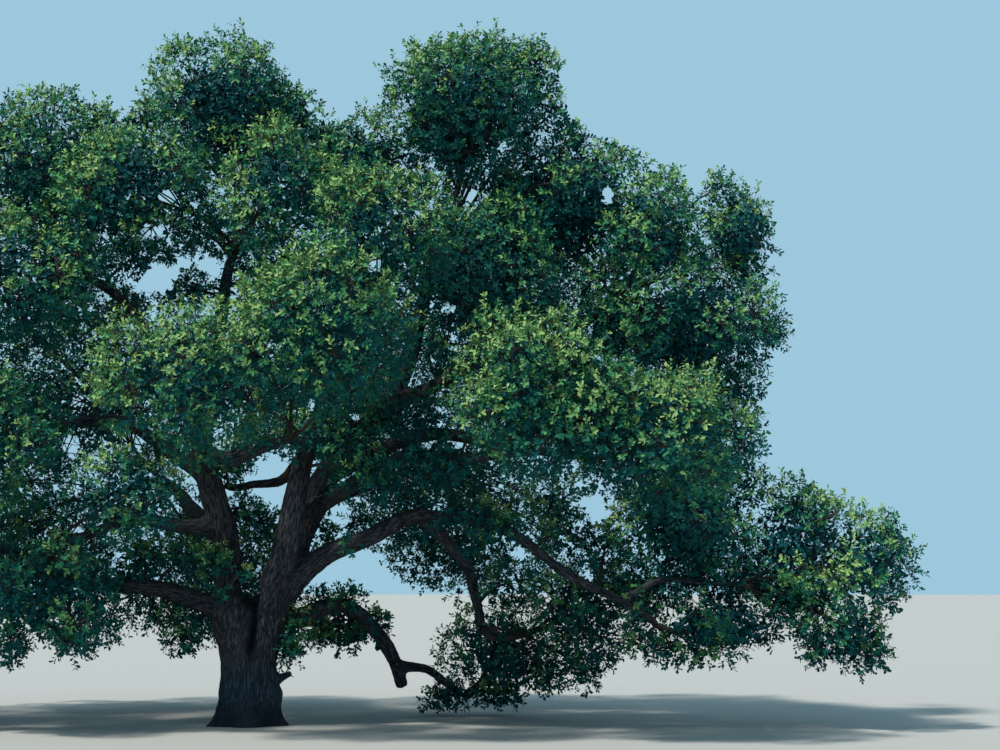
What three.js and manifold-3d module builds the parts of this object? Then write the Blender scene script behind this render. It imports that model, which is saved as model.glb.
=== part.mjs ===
// A broad, open-grown oak: a short thick trunk that forks low, long crooked boughs
// that arch out and droop, one of them down to the ground, and rounded foliage masses.
// Millimetres, +Z up. The origin is the centre of the flat cut under the trunk, and
// the deep cleft below the fork faces -Y.

import * as THREE from "three";
import { mergeVertices } from "three/addons/utils/BufferGeometryUtils.js";
import Module from "manifold-3d";

const wasm = await Module();
wasm.setup();

// How far a piece is grown all round before it is cut out of its neighbour
const GROWN = 0.33;
// The gap between a limb's end face and the stems of the foliage beyond it
const CLEAR = 0.36;
const GOLDEN_ANGLE = Math.PI * (3 - Math.sqrt(5));

// Trunk
const FORK_HEIGHT = 3000;
const CROTCH_RISE = 230;
const WAIST_RADIUS = 655;
const FLARE = 265;
const FLARE_HEIGHT = 340;
const ROOT_LOBES = 5;
const FORK_SPREAD_X = 360;
const FORK_SPREAD_Y = 60;
const CLEFT_DEPTH = 190;
const CLEFT_START = 1300;
const CLEFT_HALF_ANGLE = 0.34;
const SHOULDER = 0.2;
const SHOULDER_FROM = 2450;
const TRUNK_LEAN = new THREE.Vector3(40, 30, FORK_HEIGHT);
const TRUNK_SIDES = 20;
const TRUNK_RINGS = 10;

// Limbs
const LIMB_SIDES = 7;
const RING_STEP = 1250;
const SUNK = 160;
const COLLAR = 0.2;
const COLLAR_LENGTH = 420;
const TAPER_POWER = 0.8;
const CROOK = 0.035;

// Foliage
const CORE_SHARE = 0.84;
const OUTERMOST = 1.06;
const CORE_LUMP = 0.07;
const FINE_CORE_FROM = 900;
const SPACE_GAP = 0.03;
const LIMB_ROOM = 25;
const STEM_SIDES = 5;
const STEM_TIP_SHARE = 0.35;
const TRUNK_STEM_AT = 0.62;
const TRUNK_STEM_RADIUS = 110;
const SPRAY_LENGTH = 1050;
const SPRAY_TO_MASS = 0.55;
const SUNK_SHARE = 0.28;
const SPRAY_WIDTH = 0.66;
const SPRAY_THICKNESS = 0.1;
const SPRAY_TILT = 1.1;
const SPRAYS_LEAST = 10;
const SPRAYS_PER_SQUARE_METRE = 1;
const OPEN_ROOM = 0.8;
const SHOOT_RADIUS = 34;
const SHOOT_EVERY = 12;

// Each limb runs from its foot on the limb named in `from`, a share `at` of the way
// along it and moved `aside`, to `tip`. `bow` is how far its middle stands off the
// straight line, and `thick` holds its radius at the foot and at the tip.
const LIMBS = [
  { name: "right_leader", from: "trunk", at: 0.72, aside: [240, 60, 0],
    tip: [4500, 1500, 11400], bow: [60, 160, 0], thick: [490, 150] },
  { name: "left_leader", from: "trunk", at: 0.72, aside: [-240, 20, 0],
    tip: [-600, 600, 11200], bow: [-620, -250, 0], thick: [460, 125] },
  { name: "centre_bough", from: "trunk", at: 0.86, aside: [220, -190, 0],
    tip: [2600, -450, 10200], bow: [200, -380, 0], thick: [390, 130] },
  { name: "crossing_bough", from: "centre_bough", at: 0.5, aside: [0, 0, 0],
    tip: [-750, 1050, 5700], bow: [0, 150, -380], thick: [150, 100] },
  { name: "right_bough", from: "right_leader", at: 0.1, aside: [120, -80, 0],
    tip: [4200, -700, 4950], bow: [0, -120, 300], thick: [310, 175] },
  { name: "right_arch", from: "right_bough", at: 1, aside: [0, 0, 0],
    tip: [9600, -1000, 2350], bow: [0, -100, 420], thick: [165, 95] },
  { name: "right_lobe_bough", from: "right_arch", at: 0.84, aside: [0, 0, 0],
    tip: [11400, -800, 3300], bow: [-250, 0, 220], thick: [100, 75] },
  { name: "low_right_bough", from: "trunk", at: 0.74, aside: [300, 260, 0],
    tip: [3480, 3250, 760], bow: [480, 0, 1060], thick: [240, 165] },
  { name: "ground_bough", from: "low_right_bough", at: 0.87, aside: [0, 0, 0],
    tip: [5000, 3950, 480], bow: [60, 0, 140], thick: [135, 100] },
  { name: "hanging_bough", from: "right_bough", at: 0.95, aside: [0, 60, 0],
    tip: [5500, 1500, 2250], bow: [250, 200, 350], thick: [190, 120] },
  { name: "right_mid_bough", from: "right_leader", at: 0.4, aside: [0, 0, 0],
    tip: [8300, 700, 6300], bow: [-300, 0, 650], thick: [230, 110] },
  { name: "upper_right_bough", from: "right_leader", at: 0.62, aside: [0, 0, 0],
    tip: [8700, 600, 10100], bow: [0, 0, -250], thick: [200, 105] },
  { name: "front_right_bough", from: "right_leader", at: 0.3, aside: [0, -60, 0],
    tip: [5700, -2900, 6150], bow: [0, -150, 380], thick: [220, 120] },
  { name: "left_low_bough", from: "trunk", at: 0.86, aside: [-420, 60, 0],
    tip: [-6600, 300, 4300], bow: [0, 150, 0], thick: [250, 130] },
  { name: "left_mid_bough", from: "left_leader", at: 0.27, aside: [0, -40, 0],
    tip: [-4200, -1000, 4250], bow: [0, 0, 260], thick: [210, 120] },
  { name: "left_high_bough", from: "left_leader", at: 0.4, aside: [0, 0, 0],
    tip: [-5000, -700, 6900], bow: [0, 0, 620], thick: [200, 110] },
  { name: "left_top_bough", from: "left_leader", at: 0.5, aside: [0, 0, 0],
    tip: [-4300, 100, 10900], bow: [150, 0, 420], thick: [190, 105] },
  { name: "front_left_bough", from: "left_leader", at: 0.45, aside: [60, -60, 0],
    tip: [1250, -2800, 6550], bow: [-150, -250, -150], thick: [200, 115] },
  { name: "back_left_bough", from: "left_leader", at: 0.16, aside: [0, 60, 0],
    tip: [-2900, 4200, 6000], bow: [0, 0, 420], thick: [260, 135] },
  { name: "back_right_bough", from: "right_leader", at: 0.2, aside: [0, 120, 0],
    tip: [3600, 4300, 6600], bow: [0, 0, 450], thick: [260, 135] },
];

// Each mass of foliage hangs on the tip of its limb, or on the trunk, and keeps to the
// room of an ellipsoid with this centre and these half widths.
const MASSES = [
  { name: "left_dome", on: "left_leader", centre: [-850, 1500, 15050], half: [2350, 3600, 2200] },
  { name: "left_shoulder", on: "left_leader", centre: [-2700, -1000, 12500], half: [2200, 3100, 2000] },
  { name: "front_left_top", on: "left_leader", centre: [1000, -2800, 12200], half: [1650, 2500, 1850] },
  { name: "centre_notch", on: "centre_bough", centre: [2300, 2300, 13700], half: [1800, 3200, 1700] },
  { name: "front_centre_top", on: "centre_bough", centre: [3300, -3200, 11000], half: [1950, 2900, 2000] },
  { name: "centre_dome", on: "right_leader", centre: [5000, 1600, 15100], half: [2350, 3700, 2250] },
  { name: "centre_dark", on: "right_leader", centre: [5400, -400, 10500], half: [2600, 2700, 2350] },
  { name: "centre_right", on: "right_leader", centre: [7800, 1900, 12800], half: [2250, 3600, 2150] },
  { name: "right_shoulder", on: "upper_right_bough", centre: [9500, -500, 11600], half: [1550, 2900, 1750] },
  { name: "right_ear", on: "upper_right_bough", centre: [11850, 1300, 11900], half: [1100, 3000, 1650] },
  { name: "right_flank", on: "upper_right_bough", centre: [10500, 600, 9500], half: [2700, 3700, 1800] },
  { name: "right_waist", on: "right_mid_bough", centre: [10450, 2300, 7250], half: [2100, 3800, 1750] },
  { name: "right_low", on: "right_mid_bough", centre: [10400, -300, 4800], half: [2200, 3000, 1700] },
  { name: "right_skirt", on: "right_arch", centre: [11000, -1100, 2300], half: [2000, 2400, 900] },
  { name: "right_lobe", on: "right_lobe_bough", centre: [13000, 0, 4250], half: [1800, 3200, 1750] },
  { name: "right_tip", on: "right_lobe_bough", centre: [14300, -1600, 3800], half: [1550, 2300, 1500] },
  { name: "right_drop", on: "right_lobe_bough", centre: [14000, -1500, 2250], half: [1100, 1400, 1150] },
  { name: "ground_left", on: "ground_bough", centre: [5800, 3300, 1700], half: [1650, 2200, 1500] },
  { name: "ground_right", on: "hanging_bough", centre: [7900, 2000, 2600], half: [1900, 2400, 1750] },
  { name: "low_right_fringe", on: "trunk", centre: [1900, 3700, 2200], half: [1350, 1300, 1000] },
  { name: "front_left", on: "front_left_bough", centre: [2250, -5500, 8700], half: [2100, 3300, 2100] },
  { name: "front_left_low", on: "front_left_bough", centre: [-600, -5000, 7700], half: [2400, 3200, 2050] },
  { name: "front_right_top", on: "front_right_bough", centre: [6500, -5100, 7400], half: [1800, 2700, 2250] },
  { name: "front_right", on: "front_right_bough", centre: [9250, -5300, 6450], half: [2450, 2800, 1800] },
  { name: "left_upper", on: "left_top_bough", centre: [-5000, -1300, 10500], half: [2350, 3500, 2000] },
  { name: "far_left_top", on: "left_top_bough", centre: [-5500, 1800, 13700], half: [2400, 3500, 2250] },
  { name: "far_left_high", on: "left_top_bough", centre: [-8800, 1500, 10900], half: [2600, 4100, 2400] },
  { name: "left_low", on: "left_high_bough", centre: [-5700, -2900, 6500], half: [2200, 3500, 2000] },
  { name: "far_left_mid", on: "left_high_bough", centre: [-9400, -1000, 7400], half: [2600, 4000, 2100] },
  { name: "left_inner", on: "left_mid_bough", centre: [-2400, -2700, 5300], half: [1700, 2100, 1250] },
  { name: "left_bottom", on: "left_mid_bough", centre: [-4500, -2000, 3050], half: [2600, 3200, 1500] },
  { name: "far_left_low", on: "left_low_bough", centre: [-8900, -900, 3500], half: [2600, 3500, 1850] },
  { name: "left_tip", on: "left_low_bough", centre: [-12000, 600, 5000], half: [2200, 3300, 2200] },
  { name: "back_left", on: "back_left_bough", centre: [-5000, 5900, 8600], half: [3500, 3900, 3100] },
  { name: "back_left_low", on: "back_left_bough", centre: [-7000, 5500, 4300], half: [3200, 3500, 2100] },
  { name: "back_centre_low", on: "back_left_bough", centre: [-1600, 6600, 3700], half: [2700, 3300, 2100] },
  { name: "back_centre", on: "back_right_bough", centre: [1600, 7000, 9200], half: [3400, 3600, 3200] },
  { name: "back_right", on: "back_right_bough", centre: [6500, 6600, 9800], half: [3400, 3800, 3100] },
  { name: "back_right_low", on: "back_right_bough", centre: [4900, 7200, 5100], half: [3100, 3400, 2300] },
];

const vector = (list) => new THREE.Vector3(...list);

// The same share between 0 and 1 for the same two numbers, every time
function chance(seed, step) {
  const wave = Math.sin(seed * 12.9898 + step * 78.233) * 43758.5453;
  return wave - Math.floor(wave);
}

// A crooked arc: a parabola from foot to tip through a bowed middle, with a slow
// wander to the side that dies away at both ends
class LimbCurve extends THREE.Curve {
  constructor(foot, bend, tip, seed, crook) {
    super();
    Object.assign(this, { foot, bend, tip, seed });
    const chord = tip.clone().sub(foot);
    this.wander = crook * chord.length();
    this.across = new THREE.Vector3(-chord.y, chord.x, 1).normalize();
    this.over = chord.cross(this.across).normalize();
  }
  getPoint(t, target = new THREE.Vector3()) {
    const s = 1 - t;
    const fade = Math.sin(Math.PI * t) * this.wander;
    const phase = 6 * chance(this.seed, 1);
    return target
      .copy(this.foot).multiplyScalar(s * s)
      .addScaledVector(this.bend, 2 * s * t)
      .addScaledVector(this.tip, t * t)
      .addScaledVector(this.across, fade * Math.sin(9 * t + phase))
      .addScaledVector(this.over, fade * Math.cos(7 * t + phase));
  }
}

// A closed geometry as a solid that can be joined and cut
function solidOf(geometry) {
  const bare = new THREE.BufferGeometry();
  bare.setAttribute("position", geometry.getAttribute("position"));
  bare.setIndex(geometry.index);
  const merged = mergeVertices(bare, 1e-2);
  return new wasm.Manifold(
    new wasm.Mesh({
      numProp: 3,
      vertProperties: merged.attributes.position.array,
      triVerts: new Uint32Array(merged.index.array),
    }),
  );
}

function largestBody(solid) {
  return solid.decompose().sort((a, b) => b.volume() - a.volume())[0];
}

// Moves every vertex of a geometry to where `place` puts it
function moulded(geometry, place) {
  const spots = geometry.getAttribute("position");
  const spot = new THREE.Vector3();
  for (let i = 0; i < spots.count; i++) {
    place(spot.fromBufferAttribute(spots, i));
    spots.setXYZ(i, spot.x, spot.y, spot.z);
  }
  return geometry;
}

// A round rod bent along a curve, thick(t) wide at each share t of its length, and
// drawn out by `more` at both ends
function bentRod(curve, sides, rings, thick, more = 0) {
  const frames = curve.computeFrenetFrames(rings);
  const rod = new THREE.CylinderGeometry(1, 1, 1, sides, rings);
  return moulded(rod, (spot) => {
    const t = spot.y + 0.5;
    const ring = Math.round(t * rings);
    const radius = thick(t);
    const { x, z } = spot;
    const third = frames.normals[ring].clone().cross(frames.tangents[ring]);
    curve.getPointAt(t, spot);
    if (ring === 0) spot.addScaledVector(frames.tangents[0], -more);
    if (ring === rings) spot.addScaledVector(frames.tangents[rings], more);
    spot.addScaledVector(frames.normals[ring], x * radius);
    spot.addScaledVector(third, z * radius);
  });
}

// Trunk: round at the waist, lobed at the roots, wide and cleft under the fork
function trunkRadius(height, angle) {
  const roots = FLARE * Math.exp(-height / FLARE_HEIGHT);
  const lobes = 1 + 0.42 * Math.cos(ROOT_LOBES * angle + 0.7);
  const spread = THREE.MathUtils.smoothstep(height, WAIST_RADIUS * 2, FORK_HEIGHT);
  const wide = FORK_SPREAD_X * Math.cos(angle) ** 2 + FORK_SPREAD_Y * Math.sin(angle) ** 2;
  const open = THREE.MathUtils.smoothstep(height, CLEFT_START, FORK_HEIGHT);
  const fromCleft = Math.abs(Math.abs(angle) - Math.PI / 2) / CLEFT_HALF_ANGLE;
  const cleft = CLEFT_DEPTH * open * Math.exp(-fromCleft * fromCleft);
  const shoulder = 1 - SHOULDER * THREE.MathUtils.smoothstep(height, SHOULDER_FROM, FORK_HEIGHT);
  return (WAIST_RADIUS + roots * lobes + spread * wide - cleft) * shoulder;
}

function trunkSolid(grown) {
  const body = new THREE.CylinderGeometry(1, 1, 1, TRUNK_SIDES, TRUNK_RINGS);
  const domed = moulded(body, (spot) => {
    const t = spot.y + 0.5;
    const height = FORK_HEIGHT * t ** 1.4;
    const out = Math.hypot(spot.x, spot.z);
    const angle = Math.atan2(-spot.z, spot.x);
    const radius = out * (trunkRadius(height, angle) + grown);
    const crown = t === 1 ? CROTCH_RISE * (1 - out) : 0;
    spot.set(
      TRUNK_LEAN.x * t + radius * Math.cos(angle),
      TRUNK_LEAN.y * t + radius * Math.sin(angle),
      t === 0 ? -grown : height + crown + grown * t,
    );
  });
  return solidOf(domed);
}

// Limbs
const curves = new Map([
  ["trunk", new LimbCurve(new THREE.Vector3(), TRUNK_LEAN.clone().multiplyScalar(0.5), TRUNK_LEAN, 0, 0)],
]);

function limbCurve(limb, seed) {
  const foot = curves.get(limb.from).getPointAt(limb.at).add(vector(limb.aside));
  const tip = vector(limb.tip);
  const middle = foot.clone().add(tip).multiplyScalar(0.5);
  const bend = middle.addScaledVector(vector(limb.bow), 2);
  // A limb that carries on from another's tip starts a little inside it
  if (limb.at === 1) foot.addScaledVector(curves.get(limb.from).getTangentAt(1), -SUNK);
  return new LimbCurve(foot, bend, tip, seed, CROOK);
}

function limbRadius(limb, length, t) {
  const [foot, tip] = limb.thick;
  const collar = limb.at === 1 ? 0 : COLLAR * Math.exp((-t * length) / COLLAR_LENGTH);
  return THREE.MathUtils.lerp(foot, tip, t ** TAPER_POWER) * (1 + collar);
}

function limbSolid(limb, grown) {
  const curve = curves.get(limb.name);
  const length = curve.getLength();
  const rings = Math.max(4, Math.round(length / RING_STEP));
  const thick = (t) => limbRadius(limb, length, t) + grown;
  return solidOf(bentRod(curve, LIMB_SIDES, rings, thick, grown));
}

// How close a point comes to any limb's bark, below zero inside
const limbBeads = [];

function strewBeads(limb) {
  const curve = curves.get(limb.name);
  const length = curve.getLength();
  const count = Math.ceil(length / 150);
  for (let i = 0; i <= count; i++)
    limbBeads.push({ at: curve.getPointAt(i / count), radius: limbRadius(limb, length, i / count) });
}

function fromLimbs(spot) {
  let least = Infinity;
  for (const bead of limbBeads) least = Math.min(least, bead.at.distanceTo(spot) - bead.radius);
  return least;
}

// Foliage spaces: a point belongs to the mass that it is deepest in
const away = new THREE.Vector3();

function depthIn(mass, spot) {
  return away.copy(spot).sub(mass.middle).divide(mass.reach).length();
}

function inSpace(mass, spot) {
  const depth = depthIn(mass, spot);
  if (depth > OUTERMOST || spot.z < LIMB_ROOM) return false;
  return mass.neighbours.every((other) => depth + SPACE_GAP < depthIn(other, spot));
}

function pointIn(mass, direction, depth) {
  return direction.clone().multiply(mass.reach).multiplyScalar(depth).add(mass.middle);
}

// The share of the way to the ellipsoid's surface that is the mass's own
function roomAlong(mass, direction) {
  let depth = 0.3;
  while (depth < 1 && inSpace(mass, pointIn(mass, direction, depth + 0.02))) depth += 0.02;
  return Math.min(depth, 1);
}

function coreGeometry(mass, seed) {
  const detail = Math.min(...mass.half) < FINE_CORE_FROM ? 0 : 1;
  return moulded(new THREE.IcosahedronGeometry(1, detail), (spot) => {
    const lump = 1 + CORE_LUMP * Math.sin(5 * spot.x + seed) * Math.cos(4 * spot.y - 3 * spot.z);
    const direction = spot.clone().normalize();
    spot.copy(pointIn(mass, direction, CORE_SHARE * lump * roomAlong(mass, direction)));
  });
}

// The middle and the outward way of every facet of a core
function facetsOf(core) {
  const spots = core.getAttribute("position");
  const facets = [];
  for (let i = 0; i < spots.count; i += 3) {
    const [a, b, c] = [0, 1, 2].map((k) => new THREE.Vector3().fromBufferAttribute(spots, i + k));
    const facet = new THREE.Triangle(a, b, c);
    facets.push({
      middle: facet.getMidpoint(new THREE.Vector3()),
      outward: facet.getNormal(new THREE.Vector3()),
    });
  }
  return facets;
}

// The stems of the masses on one tip stand side by side on its end face
function stemCurve(mass) {
  const limb = LIMBS.find((other) => other.name === mass.on);
  if (!limb) {
    const foot = curves.get("trunk").getPointAt(TRUNK_STEM_AT);
    const bend = foot.clone().lerp(mass.middle, 0.5).add(new THREE.Vector3(0, 0, 500));
    mass.stemRadius = TRUNK_STEM_RADIUS;
    return new LimbCurve(foot, bend, mass.middle.clone(), 3, 0);
  }
  const axis = curves.get(limb.name).getTangentAt(1);
  const tip = curves.get(limb.name).getPointAt(1);
  const side = new THREE.Vector3(0, 0, 1).cross(axis).normalize();
  const up = axis.clone().cross(side);
  const twins = MASSES.filter((other) => other.on === mass.on);
  const bearing = (other) => {
    const way = other.middle.clone().sub(tip);
    return Math.atan2(way.dot(up), way.dot(side));
  };
  twins.sort((a, b) => bearing(a) - bearing(b));
  const first = bearing(twins[0]);
  const turn = first + (2 * Math.PI * twins.indexOf(mass)) / twins.length;
  const offset = [0, 0, 0.5, 0.55][twins.length] * limb.thick[1];
  mass.stemRadius = [0, 0.85, 0.44, 0.4][twins.length] * limb.thick[1];
  const foot = tip
    .addScaledVector(axis, CLEAR)
    .addScaledVector(side, offset * Math.cos(turn))
    .addScaledVector(up, offset * Math.sin(turn));
  const far = foot.distanceTo(mass.middle);
  return new LimbCurve(foot, foot.clone().addScaledVector(axis, 0.3 * far), mass.middle.clone(), 3, 0);
}

function stemSolid(mass, grown) {
  const rings = Math.max(2, Math.round(mass.stem.getLength() / 1300));
  const thick = (t) => mass.stemRadius * (1 - (1 - STEM_TIP_SHARE) * t) + grown;
  return solidOf(bentRod(mass.stem, STEM_SIDES, rings, thick, grown));
}

// A closed shell from its corners and the corners of each of its facets
function shellSolid(corners, facets) {
  const shell = new THREE.BufferGeometry().setFromPoints(corners);
  shell.setIndex(facets.flat());
  return solidOf(shell);
}

// A flat spray of leaves, widest past its middle: two facets below, and four above
// that meet in a low ridge
function spraySolid(root, along, across, length) {
  const upward = along.clone().cross(across);
  const place = (forward, aside, up) =>
    root.clone()
      .addScaledVector(along, forward * length)
      .addScaledVector(across, aside * length)
      .addScaledVector(upward, up * length);
  const half = SPRAY_WIDTH / 2;
  const corners = [
    place(0, 0, 0),
    place(1, 0, 0),
    place(0.6, half, 0),
    place(0.6, -half, 0),
    place(0.55, 0, SPRAY_THICKNESS),
  ];
  const facets = [[0, 2, 3], [1, 3, 2], [0, 4, 2], [0, 3, 4], [1, 2, 4], [1, 4, 3]];
  return { solid: shellSolid(corners, facets), corners };
}

function shootSolid(root, tip) {
  const curve = new THREE.LineCurve3(root, tip);
  return solidOf(bentRod(curve, 3, 1, (t) => SHOOT_RADIUS * (1.3 - 0.5 * t)));
}

// The golden angle deals the sprays out over the facets of the core. Each is sunk in
// the middle of its facet and leans to one side, and every few of them a shoot stands
// out further and carries a pair.
function foliageOf(mass, facets, seed) {
  const size = (mass.reach.x + mass.reach.y + mass.reach.z) / 3;
  const length = Math.min(SPRAY_LENGTH, size * SPRAY_TO_MASS);
  const fits = (spot) => inSpace(mass, spot) && fromLimbs(spot) > LIMB_ROOM;
  const free = facets.filter(({ middle }) => {
    const direction = middle.clone().sub(mass.middle).divide(mass.reach).normalize();
    return roomAlong(mass, direction) > OPEN_ROOM;
  });
  const made = [];
  for (let i = 0; i < mass.sprays && free.length; i++) {
    const level = 1 - (2 * i + 1) / mass.sprays;
    const turn = i * GOLDEN_ANGLE + seed;
    const flat = Math.sqrt(1 - level * level);
    const wanted = new THREE.Vector3(flat * Math.cos(turn), flat * Math.sin(turn), level);
    free.sort((a, b) => b.outward.dot(wanted) - a.outward.dot(wanted));
    const { middle, outward } = free.shift();
    const sideways = new THREE.Vector3(-outward.y, outward.x, 0.5 - chance(seed, i));
    sideways.addScaledVector(outward, -sideways.dot(outward)).normalize();
    const across = outward.clone().cross(sideways);
    const shoot = i % SHOOT_EVERY === 1;
    const lean = chance(seed, i + 50) > 0.5 ? SPRAY_TILT : -SPRAY_TILT;
    const fork = middle.clone().addScaledVector(outward, shoot ? 0.3 * length : 0);
    const grown = [];
    for (const tilt of shoot ? [SPRAY_TILT, -SPRAY_TILT] : [lean]) {
      const along = outward.clone().addScaledVector(sideways, tilt).normalize();
      const reach = (shoot ? 0.55 : 0.75 + 0.25 * chance(seed, i + 90)) * length;
      const root = fork.clone().addScaledVector(along, -SUNK_SHARE * reach);
      const spray = spraySolid(root, along, across, reach);
      if (spray.corners.slice(1).every(fits)) grown.push(spray.solid);
    }
    if (shoot && grown.length) {
      const bare = middle.clone().addScaledVector(outward, -0.3 * length);
      grown.push(shootSolid(bare, fork.addScaledVector(outward, 0.05 * length)));
    }
    made.push(...grown);
  }
  return made;
}

function meshOf(name, solid, centre, colour, roughness) {
  const made = solid.getMesh();
  const spots = new Float32Array(made.numVert * 3);
  for (let i = 0; i < made.numVert; i++)
    spots.set(made.vertProperties.subarray(i * made.numProp, i * made.numProp + 3), i * 3);
  const geometry = new THREE.BufferGeometry();
  geometry.setAttribute("position", new THREE.BufferAttribute(spots, 3));
  geometry.setIndex(new THREE.BufferAttribute(made.triVerts, 1));
  geometry.translate(-centre.x, -centre.y, -centre.z);
  geometry.computeVertexNormals();
  const material = new THREE.MeshStandardMaterial({ color: colour, roughness, metalness: 0 });
  const mesh = new THREE.Mesh(geometry, material);
  mesh.name = name;
  mesh.position.copy(centre);
  return mesh;
}

// Wood: each limb is cut clear of the trunk and of the limbs before it
const BARK = 0x4b443d;
const wood = new THREE.Group();
const grownLimbs = [trunkSolid(GROWN)];
wood.add(meshOf("trunk", trunkSolid(0), new THREE.Vector3(), BARK, 0.95));

function nearby(a, b) {
  const one = a.boundingBox();
  const two = b.boundingBox();
  return [0, 1, 2].every((k) => one.min[k] < two.max[k] && two.min[k] < one.max[k]);
}

function cutClear(solid, others) {
  let cut = solid;
  for (const other of others) if (nearby(cut, other)) cut = cut.subtract(other);
  return largestBody(cut);
}

LIMBS.forEach((limb, index) => {
  curves.set(limb.name, limbCurve(limb, index + 1));
  const solid = cutClear(limbSolid(limb, 0), grownLimbs);
  wood.add(meshOf(limb.name, solid, curves.get(limb.name).getPointAt(0), BARK, 0.95));
  grownLimbs.push(limbSolid(limb, GROWN));
  strewBeads(limb);
});

// Foliage
const LEAF_COLOURS = [0x3d6b2c, 0x2f5a2a, 0x4f7d31, 0x27502d];
const foliage = new THREE.Group();

for (const mass of MASSES) {
  mass.middle = vector(mass.centre);
  mass.reach = vector(mass.half);
  const square = mass.reach.x * mass.reach.z * 1e-6;
  mass.sprays = Math.round(SPRAYS_LEAST + SPRAYS_PER_SQUARE_METRE * square);
}
for (const mass of MASSES) {
  mass.neighbours = MASSES.filter((other) => {
    const apart = other.middle.clone().sub(mass.middle);
    const span = other.reach.clone().add(mass.reach);
    return other !== mass && apart.divide(span).length() < 1.2;
  });
  mass.stem = stemCurve(mass);
  mass.grownStem = stemSolid(mass, GROWN);
}

MASSES.forEach((mass, index) => {
  const core = coreGeometry(mass, index);
  const sprays = foliageOf(mass, facetsOf(core), index + 1);
  const parts = [solidOf(core), stemSolid(mass, 0), ...sprays];
  const otherStems = MASSES.filter((other) => other !== mass).map((other) => other.grownStem);
  const solid = cutClear(wasm.Manifold.union(parts), [...grownLimbs, ...otherStems]);
  const colour = LEAF_COLOURS[index % LEAF_COLOURS.length];
  foliage.add(meshOf(mass.name, solid, mass.middle, colour, 0.8));
});

const oak = new THREE.Group();
oak.add(wood, foliage);
export default oak;
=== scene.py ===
# A broad, open-grown oak in full leaf. Furrowed bark goes over the trunk and boughs,
# and branches, twigs and leaves grow on from the boughs' tips by the rule of the solids.
# Metres, +Z up. The origin is the centre of the flat cut under the trunk.

import math

import bmesh
import bpy
import numpy as np
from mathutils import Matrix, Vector, noise


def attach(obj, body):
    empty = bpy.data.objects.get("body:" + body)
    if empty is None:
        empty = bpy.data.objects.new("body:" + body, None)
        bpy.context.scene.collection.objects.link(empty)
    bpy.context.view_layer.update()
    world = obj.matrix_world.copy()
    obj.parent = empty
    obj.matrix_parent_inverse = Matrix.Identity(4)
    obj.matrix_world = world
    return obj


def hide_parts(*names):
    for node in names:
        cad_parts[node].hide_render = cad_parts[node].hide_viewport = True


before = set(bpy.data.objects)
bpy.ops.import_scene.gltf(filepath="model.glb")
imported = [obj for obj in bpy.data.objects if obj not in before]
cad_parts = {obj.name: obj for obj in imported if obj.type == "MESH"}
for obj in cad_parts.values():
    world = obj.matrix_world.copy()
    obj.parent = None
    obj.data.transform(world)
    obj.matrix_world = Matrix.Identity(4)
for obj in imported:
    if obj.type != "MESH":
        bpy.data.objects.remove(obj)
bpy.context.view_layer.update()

GOLDEN_ANGLE = math.pi * (3 - math.sqrt(5))
MILLIMETRE = 0.001
UP = np.array([0.0, 0.0, 1.0])

# The camera, and the picture that it takes, in pixels
EYE = np.array([5.95, -48.0, 3.3])
PITCH = math.radians(5.92)
PICTURE = (1000, 750)
FOCAL_PIXELS = 2016
SENSOR_WIDTH = 36

# Trunk
FORK_HEIGHT = 3.0
CROTCH_RISE = 0.23
WAIST_RADIUS = 0.655
FLARE = 0.265
FLARE_HEIGHT = 0.34
ROOT_LOBES = 5
ROOT_LOBE_SHARE = 0.42
ROOT_LOBE_TURN = 0.7
SPREAD_FROM = WAIST_RADIUS * 2
FORK_SPREAD_X = 0.36
FORK_SPREAD_Y = 0.06
CLEFT_DEPTH = 0.19
CLEFT_START = 1.3
CLEFT_HALF_ANGLE = 0.34
SHOULDER = 0.2
SHOULDER_FROM = 2.45
TRUNK_LEAN = (0.04, 0.03, FORK_HEIGHT)

# Limbs
SUNK = 0.16
COLLAR = 0.2
COLLAR_LENGTH = 0.42
TAPER_POWER = 0.8
CROOK = 0.035
CROOK_WAVES = (9, 7)
CROOK_PHASES = 6
ARC_STEPS = 200
HEADING_STEP = 1e-4

# Stems of the foliage
CLEAR = 0.00036
STEM_TIP_SHARE = 0.35
STEM_BEND = 0.3
TRUNK_STEM_AT = 0.62
TRUNK_STEM_RADIUS = 0.11
TRUNK_STEM_RISE = 0.5

# By how many stems share a tip: how far off its middle they stand, and their radius, as
# shares of the tip's radius
STEM_OFFSETS = (0, 0, 0.5, 0.55)
STEM_SHARES = (0, 0.85, 0.44, 0.4)

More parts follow.
